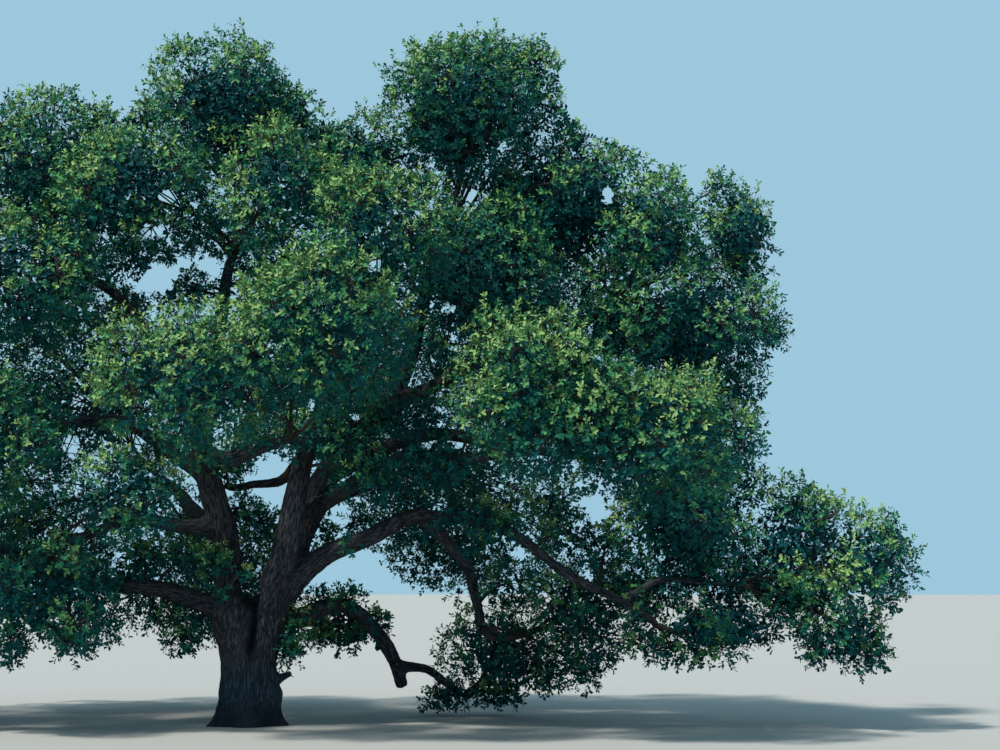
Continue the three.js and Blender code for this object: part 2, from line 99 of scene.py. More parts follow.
# Each limb: what it grows from, how far along that, how far aside, its tip, how far its
# middle stands off the straight line, and its radius at the foot and at the tip
LIMBS = {
    "right_leader": (
        "trunk", 0.72, (0.24, 0.06, 0), (4.5, 1.5, 11.4), (0.06, 0.16, 0), (0.49, 0.15),
    ),
    "left_leader": (
        "trunk", 0.72, (-0.24, 0.02, 0), (-0.6, 0.6, 11.2), (-0.62, -0.25, 0), (0.46, 0.125),
    ),
    "centre_bough": (
        "trunk", 0.86, (0.22, -0.19, 0), (2.6, -0.45, 10.2), (0.2, -0.38, 0), (0.39, 0.13),
    ),
    "crossing_bough": (
        "centre_bough", 0.5, (0, 0, 0), (-0.75, 1.05, 5.7), (0, 0.15, -0.38), (0.15, 0.1),
    ),
    "right_bough": (
        "right_leader", 0.1, (0.12, -0.08, 0), (4.2, -0.7, 4.95), (0, -0.12, 0.3), (0.31, 0.175),
    ),
    "right_arch": (
        "right_bough", 1, (0, 0, 0), (9.6, -1, 2.35), (0, -0.1, 0.42), (0.165, 0.095),
    ),
    "right_lobe_bough": (
        "right_arch", 0.84, (0, 0, 0), (11.4, -0.8, 3.3), (-0.25, 0, 0.22), (0.1, 0.075),
    ),
    "low_right_bough": (
        "trunk", 0.74, (0.3, 0.26, 0), (3.48, 3.25, 0.76), (0.48, 0, 1.06), (0.24, 0.165),
    ),
    "ground_bough": (
        "low_right_bough", 0.87, (0, 0, 0), (5, 3.95, 0.48), (0.06, 0, 0.14), (0.135, 0.1),
    ),
    "hanging_bough": (
        "right_bough", 0.95, (0, 0.06, 0), (5.5, 1.5, 2.25), (0.25, 0.2, 0.35), (0.19, 0.12),
    ),
    "right_mid_bough": (
        "right_leader", 0.4, (0, 0, 0), (8.3, 0.7, 6.3), (-0.3, 0, 0.65), (0.23, 0.11),
    ),
    "upper_right_bough": (
        "right_leader", 0.62, (0, 0, 0), (8.7, 0.6, 10.1), (0, 0, -0.25), (0.2, 0.105),
    ),
    "front_right_bough": (
        "right_leader", 0.3, (0, -0.06, 0), (5.7, -2.9, 6.15), (0, -0.15, 0.38), (0.22, 0.12),
    ),
    "left_low_bough": (
        "trunk", 0.86, (-0.42, 0.06, 0), (-6.6, 0.3, 4.3), (0, 0.15, 0), (0.25, 0.13),
    ),
    "left_mid_bough": (
        "left_leader", 0.27, (0, -0.04, 0), (-4.2, -1, 4.25), (0, 0, 0.26), (0.21, 0.12),
    ),
    "left_high_bough": (
        "left_leader", 0.4, (0, 0, 0), (-5, -0.7, 6.9), (0, 0, 0.62), (0.2, 0.11),
    ),
    "left_top_bough": (
        "left_leader", 0.5, (0, 0, 0), (-4.3, 0.1, 10.9), (0.15, 0, 0.42), (0.19, 0.105),
    ),
    "front_left_bough": (
        "left_leader", 0.45, (0.06, -0.06, 0), (1.25, -2.8, 6.55), (-0.15, -0.25, -0.15),
        (0.2, 0.115),
    ),
    "back_left_bough": (
        "left_leader", 0.16, (0, 0.06, 0), (-2.9, 4.2, 6), (0, 0, 0.42), (0.26, 0.135),
    ),
    "back_right_bough": (
        "right_leader", 0.2, (0, 0.12, 0), (3.6, 4.3, 6.6), (0, 0, 0.45), (0.26, 0.135),
    ),
}

# Each mass of foliage: the limb whose tip it hangs on, its centre, its half widths, and
# how sunny its leaves are
MASSES = {
    "left_dome": ("left_leader", (-0.85, 1.5, 15.05), (2.35, 3.6, 2.2), -0.22),
    "left_shoulder": ("left_leader", (-2.7, -1, 12.5), (2.2, 3.1, 2), -0.08),
    "front_left_top": ("left_leader", (1, -2.8, 12.2), (1.65, 2.5, 1.85), 0.15),
    "centre_notch": ("centre_bough", (2.3, 2.3, 13.7), (1.8, 3.2, 1.7), -0.15),
    "front_centre_top": ("centre_bough", (3.3, -3.2, 11), (1.95, 2.9, 2), 0.12),
    "centre_dome": ("right_leader", (5, 1.6, 15.1), (2.35, 3.7, 2.25), -0.28),
    "centre_dark": ("right_leader", (5.4, -0.4, 10.5), (2.6, 2.7, 2.35), -0.35),
    "centre_right": ("right_leader", (7.8, 1.9, 12.8), (2.25, 3.6, 2.15), -0.3),
    "right_shoulder": ("upper_right_bough", (9.5, -0.5, 11.6), (1.55, 2.9, 1.75), -0.1),
    "right_ear": ("upper_right_bough", (11.85, 1.3, 11.9), (1.1, 3, 1.65), -0.1),
    "right_flank": ("upper_right_bough", (10.5, 0.6, 9.5), (2.7, 3.7, 1.8), -0.22),
    "right_waist": ("right_mid_bough", (10.45, 2.3, 7.25), (2.1, 3.8, 1.75), -0.3),
    "right_low": ("right_mid_bough", (10.4, -0.3, 4.8), (2.2, 3, 1.7), -0.3),
    "right_skirt": ("right_arch", (11, -1.1, 2.3), (2, 2.4, 0.9), -0.15),
    "right_lobe": ("right_lobe_bough", (13, 0, 4.25), (1.8, 3.2, 1.75), 0),
    "right_tip": ("right_lobe_bough", (14.3, -1.6, 3.8), (1.55, 2.3, 1.5), -0.05),
    "right_drop": ("right_lobe_bough", (14, -1.5, 2.25), (1.1, 1.4, 1.15), -0.1),
    "ground_left": ("ground_bough", (5.8, 3.3, 1.7), (1.65, 2.2, 1.5), 0),
    "ground_right": ("hanging_bough", (7.9, 2, 2.6), (1.9, 2.4, 1.75), 0.1),
    "low_right_fringe": ("trunk", (1.9, 3.7, 2.2), (1.35, 1.3, 1), 0),
    "front_left": ("front_left_bough", (2.25, -5.5, 8.7), (2.1, 3.3, 2.1), 0.36),
    "front_left_low": ("front_left_bough", (-0.6, -5, 7.7), (2.4, 3.2, 2.05), 0.25),
    "front_right_top": ("front_right_bough", (6.5, -5.1, 7.4), (1.8, 2.7, 2.25), 0.42),
    "front_right": ("front_right_bough", (9.25, -5.3, 6.45), (2.45, 2.8, 1.8), 0.25),
    "left_upper": ("left_top_bough", (-5, -1.3, 10.5), (2.35, 3.5, 2), 0),
    "far_left_top": ("left_top_bough", (-5.5, 1.8, 13.7), (2.4, 3.5, 2.25), -0.15),
    "far_left_high": ("left_top_bough", (-8.8, 1.5, 10.9), (2.6, 4.1, 2.4), -0.18),
    "left_low": ("left_high_bough", (-5.7, -2.9, 6.5), (2.2, 3.5, 2), 0.2),
    "far_left_mid": ("left_high_bough", (-9.4, -1, 7.4), (2.6, 4, 2.1), 0),
    "left_inner": ("left_mid_bough", (-2.4, -2.7, 5.3), (1.7, 2.1, 1.25), 0.15),
    "left_bottom": ("left_mid_bough", (-4.5, -2, 3.05), (2.6, 3.2, 1.5), 0.1),
    "far_left_low": ("left_low_bough", (-8.9, -0.9, 3.5), (2.6, 3.5, 1.85), 0.05),
    "left_tip": ("left_low_bough", (-12, 0.6, 5), (2.2, 3.3, 2.2), 0),
    "back_left": ("back_left_bough", (-5, 5.9, 8.6), (3.5, 3.9, 3.1), 0),
    "back_left_low": ("back_left_bough", (-7, 5.5, 4.3), (3.2, 3.5, 2.1), 0),
    "back_centre_low": ("back_left_bough", (-1.6, 6.6, 3.7), (2.7, 3.3, 2.1), 0),
    "back_centre": ("back_right_bough", (1.6, 7, 9.2), (3.4, 3.6, 3.2), 0),
    "back_right": ("back_right_bough", (6.5, 6.6, 9.8), (3.4, 3.8, 3.1), 0),
    "back_right_low": ("back_right_bough", (4.9, 7.2, 5.1), (3.1, 3.4, 2.3), 0),
}

# Sprouts on the trunk and the fork: foot, middle of the leaves, size, how sunny
SPROUTS = [
    ((0.62, 0.1, 2.3), (1.15, 0.05, 2.5), 0.8, 0.1),
    ((0.62, 0.1, 2.2), (0.92, 0, 2.3), 0.75, -0.2),
    ((0.62, 0.1, 2), (1.2, 0, 2.1), 0.75, 0),
    ((0.6, 0.05, 1.8), (0.95, -0.05, 1.9), 0.75, -0.2),
    ((0.6, 0.05, 1.6), (0.92, -0.1, 1.85), 0.65, -0.6),
    ((0.6, 0.05, 1.5), (1.08, -0.1, 1.72), 0.55, -0.5),
    ((-0.4, -0.5, 3.3), (-0.72, -0.75, 3.85), 0.8, 0.5),
    ((-0.45, -0.5, 3.1), (-0.85, -0.7, 3.35), 0.7, 0.2),
    ((-0.3, -0.55, 3), (-0.5, -0.85, 3.05), 0.6, 0.1),
    ((0.1, -0.5, 3.1), (0.05, -0.75, 3.5), 0.5, -0.1),
    ((4.7, 3.8, 0.62), (4.9, 3.5, 0.4), 0.7, -0.6),
    ((4.9, 3.9, 0.55), (5.35, 3.6, 0.5), 0.7, -0.5),
    ((5, 3.95, 0.5), (6.3, 3.7, 0.5), 0.7, -0.6),
]

# Tufts between the masses, by the limb that they grow from: middle, radius, how sunny
TUFTS = {
    "left_leader": [
        (0, 0.3, 10.8, 0.9, 0.1), (0.7, 0.5, 10.3, 0.8, 0), (-1.4, 0.5, 11.9, 0.8, -0.2),
        (-1.4, 0.3, 10.45, 0.6, -0.1), (1.1, 1.3, 14.8, 0.9, 0), (-0.25, -0.3, 6.4, 0.55, -0.3),
        (-0.25, 0.3, 5.1, 0.55, -0.2), (-0.5, 0.4, 6.1, 0.5, -0.4), (0.2, 0.6, 4.75, 0.5, -0.4),
        (-1.95, 0.5, 10.35, 0.6, -0.3), (0.3, 1.4, 15.1, 0.75, 0), (-0.7, -0.75, 3.85, 0.4, 0.6),
        (-2.95, 1.2, 14.75, 0.55, 0),
        (-0.9, 3.6, 12.3, 1, 0), (0.4, 4.2, 11.8, 0.9, 0),
    ],
    "left_top_bough": [
        (-2.9, 0.5, 11.2, 0.7, -0.2), (-3.1, 0.6, 10, 0.6, -0.4), (-4, 1, 14.6, 0.7, 0),
        (-2.9, 0.8, 13.6, 0.8, 0),
        (-5.2, 4.2, 11.6, 0.9, 0),
    ],
    "centre_bough": [
        (1.6, 1.4, 14.1, 0.7, 0), (1.7, -1.4, 6.9, 0.75, -0.4), (2.75, -1.6, 5.9, 0.6, -0.5),
        (2.15, -1.6, 6.5, 0.6, -0.45),
    ],
    "right_leader": [
        (6.9, 1.5, 16, 0.85, 0), (7.4, 1.5, 15.1, 0.8, -0.1), (7.8, 1.6, 14.4, 0.6, -0.1),
        (4.4, -1, 7.2, 0.75, -0.2), (3.1, 0.9, 6.4, 0.8, -0.4), (2.6, -0.9, 7, 0.8, -0.4),
        (3.4, -0.9, 7.1, 0.8, -0.35), (5.1, 1.6, 16.55, 0.75, 0), (6.8, 1.5, 13.7, 0.85, -0.2),
        (6.3, 1, 12.9, 0.7, -0.2), (3.4, 1.5, 14, 0.7, -0.1), (6, 1.6, 16.4, 0.7, 0),
        (6.75, 1.5, 16.6, 0.5, 0),
        (2.2, 4.6, 11.6, 1, 0), (4.6, 3.9, 12.3, 1, 0), (6.2, 3.9, 12.2, 0.9, 0),
    ],
    "upper_right_bough": [
        (11.75, 0.3, 8, 0.75, 0), (9.2, 0.6, 12.3, 0.8, -0.1), (10.4, 0.6, 11.2, 0.8, -0.2),
        (8.6, 0.5, 9.6, 0.9, -0.3), (8.4, 0.5, 10.7, 0.75, -0.2),
        (11.4, 1.2, 13.1, 0.45, 0), (12, 0.9, 10.95, 0.65, -0.1), (12.6, 0.6, 9.3, 0.48, -0.1),
    ],
    "right_mid_bough": [
        (11.7, -0.3, 5.6, 0.8, -0.1), (7.2, 0.3, 5.4, 0.8, -0.2), (3.7, 1, 5.6, 0.75, -0.4),
        (4.9, 0.9, 6, 0.8, -0.3), (10.4, -0.6, 7.3, 0.9, -0.2),
    ],
    "right_arch": [
        (7.6, 0.6, 4.5, 0.8, -0.2), (9.7, -0.5, 3.2, 0.7, -0.2), (8.5, 0.6, 4.2, 0.8, -0.3),
        (9.1, 0.4, 3.4, 0.8, -0.3), (9.9, -1, 1.8, 0.5, -0.1), (9.2, -1, 1.95, 0.45, -0.1),
        (9.4, 0.3, 2.9, 0.65, -0.2), (4.8, -1.6, 4.95, 0.5, -0.35), (5.5, -1.7, 4.85, 0.55, -0.35),
        (6.1, -1.7, 4.6, 0.45, -0.3),
        (10.5, -1, 1.75, 0.5, -0.1),
    ],
    "right_lobe_bough": [
        (10.6, -0.6, 3.5, 0.6, -0.1), (11.5, -0.6, 3.5, 0.6, -0.1), (12.4, -0.9, 3, 0.7, -0.2),
        (13.4, -1.1, 3.2, 0.7, -0.2), (13.2, -1.5, 1.75, 0.45, -0.1), (11.3, -0.3, 3, 0.65, -0.2),
        (13, -0.6, 2.9, 0.65, -0.2),
        (14.5, -1.5, 1.75, 0.5, -0.1), (12.9, -1.4, 2.3, 0.45, -0.1),
    ],
    "left_low_bough": [
        (-2.9, 0.5, 3.7, 0.9, 0), (-2.4, 0.5, 2.8, 0.75, 0), (-1.6, 0.2, 2, 0.6, 0.2),
        (-1.3, 0.5, 2.7, 0.6, 0.1), (-1.5, -0.3, 3.9, 0.55, -0.3), (-2.4, -0.3, 3.9, 0.55, -0.3),
    ],
    "ground_bough": [
        (6.8, 3.2, 1.3, 0.8, 0), (4.45, 3.9, 0.5, 0.5, -0.7), (4.75, 3.7, 0.5, 0.42, -0.7),
        (5.8, 3.9, 0.52, 0.5, -0.7), (6.15, 3.8, 0.55, 0.42, -0.6),
    ],
    "hanging_bough": [
        (6.2, 2.5, 3.3, 0.8, -0.1), (8, 2, 1.15, 0.6, -0.1), (7.2, 2.2, 1, 0.55, -0.1),
    ],
    "right_bough": [
        (2.5, 0.7, 4.9, 0.5, -0.3), (1.75, 0.9, 4.45, 0.45, -0.4),
    ],
    "front_right_bough": [
        (7.6, -6.3, 7.9, 0.85, 0.35), (8.3, -6.5, 7.3, 0.9, 0.3), (7.7, -6.7, 6.7, 0.9, 0.15),
        (8.4, -6.6, 6.1, 0.85, 0), (6.9, -6.6, 6.3, 0.9, 0.1), (6.3, -6.7, 7.2, 0.8, 0.3),
        (3.7, -2, 6.3, 0.65, -0.45), (4.4, -2.2, 5.9, 0.6, -0.4), (5, -2.4, 6.15, 0.6, -0.3),
        (3.2, -1.8, 5.45, 0.5, -0.45),
        (6.2, -2.9, 7.6, 0.9, 0), (8.7, -2.6, 7, 0.9, -0.1),
    ],
    "front_left_bough": [
        (0.9, -6.9, 8, 0.9, 0.2), (1.7, -7.2, 8.9, 0.85, 0.3), (0.95, -1, 6.8, 0.5, -0.3),
        (0.1, -0.8, 6.6, 0.5, -0.3),
    ],
    "low_right_bough": [
        (1.6, 1, 2.9, 0.45, -0.3), (2.3, 1.5, 2.95, 0.42, -0.3), (2.9, 2.2, 2.4, 0.45, -0.3),
        (1.5, 2.6, 2.1, 0.45, -0.2), (2.4, 3, 2, 0.4, -0.2),
    ],
    "trunk": [
        (0.98, -0.1, 2.1, 0.42, -0.3), (0.92, -0.1, 1.68, 0.34, -0.6),
    ],
    "left_mid_bough": [
        (-5.2, -2, 1.85, 0.6, 0.1), (-6.1, -2, 2, 0.6, 0.1),
        (-3.75, -2, 2.05, 0.5, 0.1),
    ],
}

# Openings right through the crown, from where the camera stands: middle and half widths
# in pixels, and the share of the sprays that stay
CROWN_GAPS = [
    (167, 197, 10, 8, 0), (151, 232, 13, 8, 0), (158, 279, 17, 16, 0), (212, 270, 9, 14, 0),
    (71, 446, 9, 12, 0), (135, 437, 13, 11, 0), (276, 470, 15, 11, 0), (285, 496, 11, 10, 0),
    (388, 446, 11, 7, 0), (597, 511, 9, 14, 0), (607, 197, 7, 10, 0), (590, 331, 7, 5, 0),
    (440, 186, 6, 4, 0), (470, 196, 9, 6, 0), (375, 264, 9, 10, 0), (401, 304, 8, 6, 0),
    (448, 308, 9, 6, 0), (312, 406, 5, 8, 0), (357, 419, 5, 7, 0),
    (80, 400, 10, 8, 0.35), (140, 402, 9, 6, 0.3),
    (340, 512, 10, 18, 0.45), (390, 498, 9, 8, 0.4), (439, 506, 9, 11, 0.3),
    (388, 446, 18, 12, 0.3), (460, 443, 8, 11, 0.25),
    (331, 105, 23, 20, 0.1), (388, 48, 18, 18, 0.08), (577, 85, 15, 36, 0.03),
    (592, 119, 14, 17, 0.08), (695, 179, 12, 10, 0.2), (767, 188, 12, 20, 0.3),
    (262, 31, 18, 10, 0.2), (277, 55, 8, 16, 0.3), (47, 80, 27, 7, 0.3),
    (625, 133, 28, 12, 0.2), (786, 215, 11, 35, 0.2), (777, 400, 10, 60, 0.2),
    (857, 489, 35, 9, 0.2), (352, 655, 35, 14, 0.3),
]

# Hollows in the leaves before a bough, which show it with leaves behind
BOUGH_HOLLOWS = [
    (112, 297, 14, 10, 0.1), (95, 283, 12, 9, 0.1), (128, 312, 9, 9, 0.1),
    (140, 283, 9, 12, 0.1), (227, 280, 4, 24, 0.1), (118, 413, 40, 9, 0.1),
]
HOLLOW_BEFORE = 0.2
GAP_LUCK = (7.7, 3.9, 5.3)

# Foliage: lobes on each mass, clumps on each lobe, sprays in each clump, leaves on each spray
OUTERMOST = 1.07
BURIED = 0.84
NEIGHBOURS_WITHIN = 1.2
AREA_POWER = 1.6
ROOM_STEP = 0.04
LEAST_ROOM = 0.3
LIMB_ROOM = 0.03

# Where chance has a say, a pair is the least that a number may be, and how much more
LOBES_PER_SQUARE_METRE = 0.2
LEAST_LOBES = 6
LOBE_TURN = 0.7
LOBE_SCATTER = 0.45
LOBE_RADIUS = 0.98
LOBE_SIZES = (0.7, 0.65)
LOBE_SIZE_POWER = 1.5
WIDEST_LOBE = 0.6
LOBE_INSET = 0.04
LOBE_COVERED = 0.15
HULL_LUMP = 0.36
HULL_LUMP_SIZE = 2.3

CLUMPS_PER_SQUARE_METRE = 2.45
LEAST_CLUMPS = 4
CLUMP_INSET = 0.42
CLUMP_RADIUS = 0.43
CLUMP_SIZES = (0.8, 0.4)
CLUMP_REACHES = (0.65, 0.5)
CLUMP_LIFT = 0.3
CLUMP_OUTWARD = 0.35
CLUMPS_FACE = -0.3
CLUMP_OVERLAP = 0.98
CLUMP_TURN = 2.1
BACK_FROM = 5
BACK_SHARE = 0.85

STEM_RINGS, STEM_SIDES = 9, 7
BRANCH_RINGS, BRANCH_SIDES = 6, 5
BRANCHES_FROM = (0.35, 0.6)
BRANCH_RISE = 0.12
BRANCH_SHARE = 0.42
BRANCH_TIP = 0.018
CLUMP_TWIG_RADIUS = 0.018
TWIG_RADIUS = 0.007

TWIGS_PER_CLUMP = 8
TWIGS_DOWN_TO = 1.1
TWIG_SCATTER = 0.5
LEAVES_PER_TWIG = 9
LOBED_LEAVES = 1
LEAF_LENGTH = 0.12
LEAF_SIZES = (0.7, 0.6)
LEAVES_ALONG = 0.62
LEAVES_ALONG_POWER = 1.3
LEAF_TURNS = 0.8
LEAF_AHEAD = (0.25, 1.1)
LEAF_FACES_TWIG, LEAF_FACES_OUT, LEAF_FACES_UP = 0.6, 0.5, 0.45
LEAF_SCATTER = 1.1

# Broad inner leaves in the darkest tone, painted deep shade inside each mass; shadier masses get
# more of them per square metre
INNER_LEAF_LENGTH = 0.18
INNER_PER_SQUARE_METRE = 17
INNER_DARK = 75
INNER_TURN = 1.9
INNER_DEPTHS = (0.26, 0.34)
INNER_INSET = 0.05
INNER_CLEAR = 0.15
INNER_UP = 0.6

SHOOT_EVERY = 0.42
SHOOT_LENGTH = 0.5
SHOOT_REACHES = (0.5, 0.7)
SHOOT_SIZES = (0.6, 0.35)
SHOOT_AHEAD = 0.35
SHOOT_TWIGS = 7
SHOOT_SUN = -0.5

TUFT_INSET = CLUMP_INSET * 0.8
TUFT_SQUASH = [1, 1, 0.8]
TUFT_CLUMPS = 5
TUFT_SIZES = (0.75, 0.4)
TUFT_FROM = np.linspace(0.3, 1, 40)
TUFT_RISE = 0.1
TUFT_BRANCH = (0.05, 0.016)
TUFT_INNER = (14, 60)
TUFT_INNER_TURN = 3
TUFT_INNER_REACH = 0.55
TUFT_INNER_POWER = 0.4

# Where each kind's seeds start
SHOOT_SEED, SPROUT_SEED, TUFT_SEED = 60, 90, 120

# Light is blocked by the sprays in the cells that it passes through
SHADE_CELL = 0.45
SHADE_REACH = 4.1
SHADE_PER_SPRAY = 0.1

# From what share of its length each limb carries leafy shoots
SHOOTS_FROM = {
    "right_leader": 0.33, "left_leader": 0.36, "centre_bough": 0.42, "right_bough": 0.5,
    "right_arch": 0.12, "hanging_bough": 0.35, "right_mid_bough": 0.12, "front_right_bough": 0.2,
    "upper_right_bough": 0.1, "left_low_bough": 0.35, "left_mid_bough": 0.35,
    "left_high_bough": 0.2, "left_top_bough": 0.15, "front_left_bough": 0.3,
    "back_left_bough": 0.25, "back_right_bough": 0.2, "right_lobe_bough": 0.3,
    "ground_bough": 0.5,
}


# Numbers and ways. A steep sine's decimals serve as chance.
SEED_TURN = 12.9898
STEP_TURN = 78.233
SINE_HEIGHT = 43758.5453
DRAW_STRIDE = 17.31


def chance(seed, step):
    """The same share between 0 and 1 for the same two numbers, every time"""
    wave = np.sin(np.asarray(seed) * SEED_TURN + np.asarray(step) * STEP_TURN) * SINE_HEIGHT
    return wave - np.floor(wave)


def deal(count, seed, draw):
    """`count` shares between 0 and 1. A draw's number only keeps it apart from the others."""
    return chance(seed + DRAW_STRIDE * draw, np.arange(count))


def ranged(least_and_more, count, seed, draw):
    """Numbers from a least one to that and so much more"""
    least, more = least_and_more
    return least + more * deal(count, seed, draw)


def scatter(count, seed, draw):
    """Small ways of every direction, three shares from -0.5 to 0.5 each"""
    return np.stack([deal(count, seed, draw + k) - 0.5 for k in range(3)], -1)


def lengths(ways):
    return np.sqrt((ways * ways).sum(-1))


def unit(ways):
    ways = np.asarray(ways, float)
    return ways / np.maximum(lengths(ways), 1e-12)[..., None]


def smoothstep(value, low, high):
    share = np.clip((value - low) / (high - low), 0, 1)
    return share * share * (3 - 2 * share)


def golden_ways(count, turn, lowest=-1.0):
    """Directions dealt evenly over the sphere above `lowest`, by the golden angle"""
    k = np.arange(count)
    level = 1 - (1 - lowest) * (k + 0.5) / count
    flat = np.sqrt(1 - level * level)
    angle = k * GOLDEN_ANGLE + turn
    return np.stack([flat * np.cos(angle), flat * np.sin(angle), level], -1)


def sides_of(ways):
    """Two directions square to each way"""
    helper = np.where(np.abs(ways[..., 2:3]) < 0.9, UP, np.array([1.0, 0.0, 0.0]))
    first = unit(np.cross(ways, helper))
    return first, np.cross(ways, first)


def turned(first, second, turn, reach=1):
    """Ways in the planes of two directions, each turned by its own angle"""
    return first * (reach * np.cos(turn))[:, None] + second * (reach * np.sin(turn))[:, None]


def rims(first, second, sides):
    """A ring of ways for each pair of directions, in their plane"""
    angles = np.arange(sides) * 2 * np.pi / sides
    cosines, sines = np.cos(angles)[:, None], np.sin(angles)[:, None]
    return first[..., None, :] * cosines + second[..., None, :] * sines


# Curves
class LimbCurve:
    """A crooked arc: a parabola from foot to tip through a bowed middle, with a slow
    wander to the side that dies away at both ends"""

    def __init__(self, foot, bend, tip, seed, crook):
        self.foot, self.bend, self.tip = (np.array(p, float) for p in (foot, bend, tip))
        chord = self.tip - self.foot
        self.wander = crook * lengths(chord)
        self.across = unit(np.array([-chord[1], chord[0], MILLIMETRE]))
        self.over = unit(np.cross(chord, self.across))
        self.phase = CROOK_PHASES * chance(seed, 1)
        self.steps = np.linspace(0, 1, ARC_STEPS + 1)
        runs = lengths(np.diff(self.point(self.steps), axis=0))
        self.length = runs.sum()
        self.shares = np.concatenate([[0], np.cumsum(runs)]) / self.length

    def point(self, t):
        t = np.asarray(t, float)[..., None]
        s = 1 - t
        fade = np.sin(np.pi * t) * self.wander
        arc = self.foot * s * s + self.bend * 2 * s * t + self.tip * t * t
        aside, over = (wave * t + self.phase for wave in CROOK_WAVES)
        arc = arc + self.across * fade * np.sin(aside)
        return arc + self.over * fade * np.cos(over)

    def at(self, share):
        """The point at a share of the curve's length"""
        return self.point(np.interp(share, self.shares, self.steps))

    def heading(self, share):
        t = np.interp(share, self.shares, self.steps)
        ahead = self.point(np.minimum(t + HEADING_STEP, 1))
        return unit(ahead - self.point(np.maximum(t - HEADING_STEP, 0)))


def trunk_radius(height, angle):
    """Round at the waist, lobed at the roots, wide and cleft under the fork"""
    height = np.maximum(height, 0)
    roots = FLARE * np.exp(-height / FLARE_HEIGHT)
    lobes = 1 + ROOT_LOBE_SHARE * np.cos(ROOT_LOBES * angle + ROOT_LOBE_TURN)
    spread = smoothstep(height, SPREAD_FROM, FORK_HEIGHT)
    wide = FORK_SPREAD_X * np.cos(angle) ** 2 + FORK_SPREAD_Y * np.sin(angle) ** 2
    from_cleft = np.abs(np.abs(angle) - np.pi / 2) / CLEFT_HALF_ANGLE
    cleft = CLEFT_DEPTH * smoothstep(height, CLEFT_START, FORK_HEIGHT) * np.exp(-from_cleft**2)
    shoulder = 1 - SHOULDER * smoothstep(height, SHOULDER_FROM, FORK_HEIGHT)
    return (WAIST_RADIUS + roots * lobes + spread * wide - cleft) * shoulder


def limb_radius(name, length, t):
    """A limb's radius at a share of its length, with a collar where it leaves its parent"""
    _, at, _, _, _, (foot, tip) = LIMBS[name]
    collar = 0 if at == 1 else COLLAR * np.exp(-t * length / COLLAR_LENGTH)
    return (foot + (tip - foot) * t**TAPER_POWER) * (1 + collar)


def limb_curves():
    half_lean = [0.5 * part for part in TRUNK_LEAN]
    curves = {"trunk": LimbCurve((0, 0, 0), half_lean, TRUNK_LEAN, 0, 0)}
    for index, (name, (parent, at, aside, tip, bow, _)) in enumerate(LIMBS.items()):
        foot = curves[parent].at(at) + np.array(aside)
        bend = (foot + np.array(tip)) / 2 + 2 * np.array(bow)
        if at == 1:
            foot = foot - SUNK * curves[parent].heading(1)
        curves[name] = LimbCurve(foot, bend, tip, index + 1, CROOK)
    return curves


def carried_frames(line):
    """A side and an over for each point of a line, carried along it without twist"""
    ways = unit(np.gradient(line, axis=0))
    side = sides_of(ways[0])[0]
    sides = []
    for way in ways:
        side = unit(side - way * (side @ way))
        sides.append(side)
    sides = np.array(sides)
    return ways, sides, np.cross(ways, sides)


# Meshes from arrays
def placed(name, data):
    """A new object of the scene, at the origin"""
    made = bpy.data.objects.new(name, data)
    bpy.context.scene.collection.objects.link(made)
    return made


def mesh_object(name, points, faces):
    """A mesh of faces that all have the same number of corners"""
    mesh = bpy.data.meshes.new(name)
    mesh.vertices.add(len(points))
    mesh.vertices.foreach_set("co", np.ascontiguousarray(points, np.float32).ravel())
    mesh.loops.add(faces.size)
    mesh.loops.foreach_set("vertex_index", np.ascontiguousarray(faces, np.int32).ravel())
    mesh.polygons.add(len(faces))
    starts = np.arange(0, faces.size, faces.shape[1], dtype=np.int32)
    mesh.polygons.foreach_set("loop_start", starts)
    mesh.update(calc_edges=True)
    return placed(name, mesh)


def copies(points, faces):
    """The same faces for each row of points, as one list of points and one of faces"""
    rows = faces[None] + (np.arange(len(points)) * points.shape[1])[:, None, None]
    return points.reshape(-1, 3), rows.reshape(-1, 3)


def walls(rings, sides):
    """Triangles between rings of points that follow one another"""
    ring, side = np.meshgrid(np.arange(rings - 1), np.arange(sides), indexing="ij")
    a = (ring * sides + side).ravel()
    b = (ring * sides + (side + 1) % sides).ravel()
    lower = np.stack([a, b, b + sides], -1)
    return np.concatenate([lower, np.stack([a, b + sides, a + sides], -1)])


def tubes(lines, radii, sides):
    """Open tubes of triangles round lines that all have the same number of points"""
    count, rings, _ = lines.shape
    rim = rims(*sides_of(unit(np.gradient(lines, axis=1))), sides)
    points = lines[:, :, None] + rim * radii[:, :, None, None]
    return copies(points.reshape(count, -1, 3), walls(rings, sides))


def thorns(starts, ends, radius):
    """Three-sided twigs that taper to a point"""
    rim = rims(*sides_of(unit(ends - starts)), 3)
    points = np.concatenate([starts[:, None] + rim * radius, ends[:, None]], 1)
    return copies(points, np.array([(0, 1, 3), (1, 2, 3), (2, 0, 3)]))


def closed_rings(rings, low, high):
    """Rings of points joined by triangles, with a point closing each end"""
    count, sides, _ = rings.shape
    rim = np.arange(sides)
    after = (rim + 1) % sides
    last = (count - 1) * sides
    foot = np.full(sides, count * sides)
    lower = np.stack([foot, after, rim], -1)
    upper = np.stack([foot + 1, last + rim, last + after], -1)
    points = np.concatenate([rings.reshape(-1, 3), [low], [high]])
    return points, np.concatenate([walls(count, sides), lower, upper])


def closed_rod(line, radii, sides):
    """A tube with a point at both ends"""
    _, first, second = carried_frames(line)
    rings = line[:, None] + rims(first, second, sides) * radii[:, None, None]
    return closed_rings(rings, line[0], line[-1])


def joined(parts):
    """Several (points, faces) pairs as one"""
    points, faces, start = [], [], 0
    for some_points, some_faces in parts:
        points.append(some_points)
        faces.append(some_faces + start)
        start += len(some_points)
    return np.concatenate(points), np.concatenate(faces)


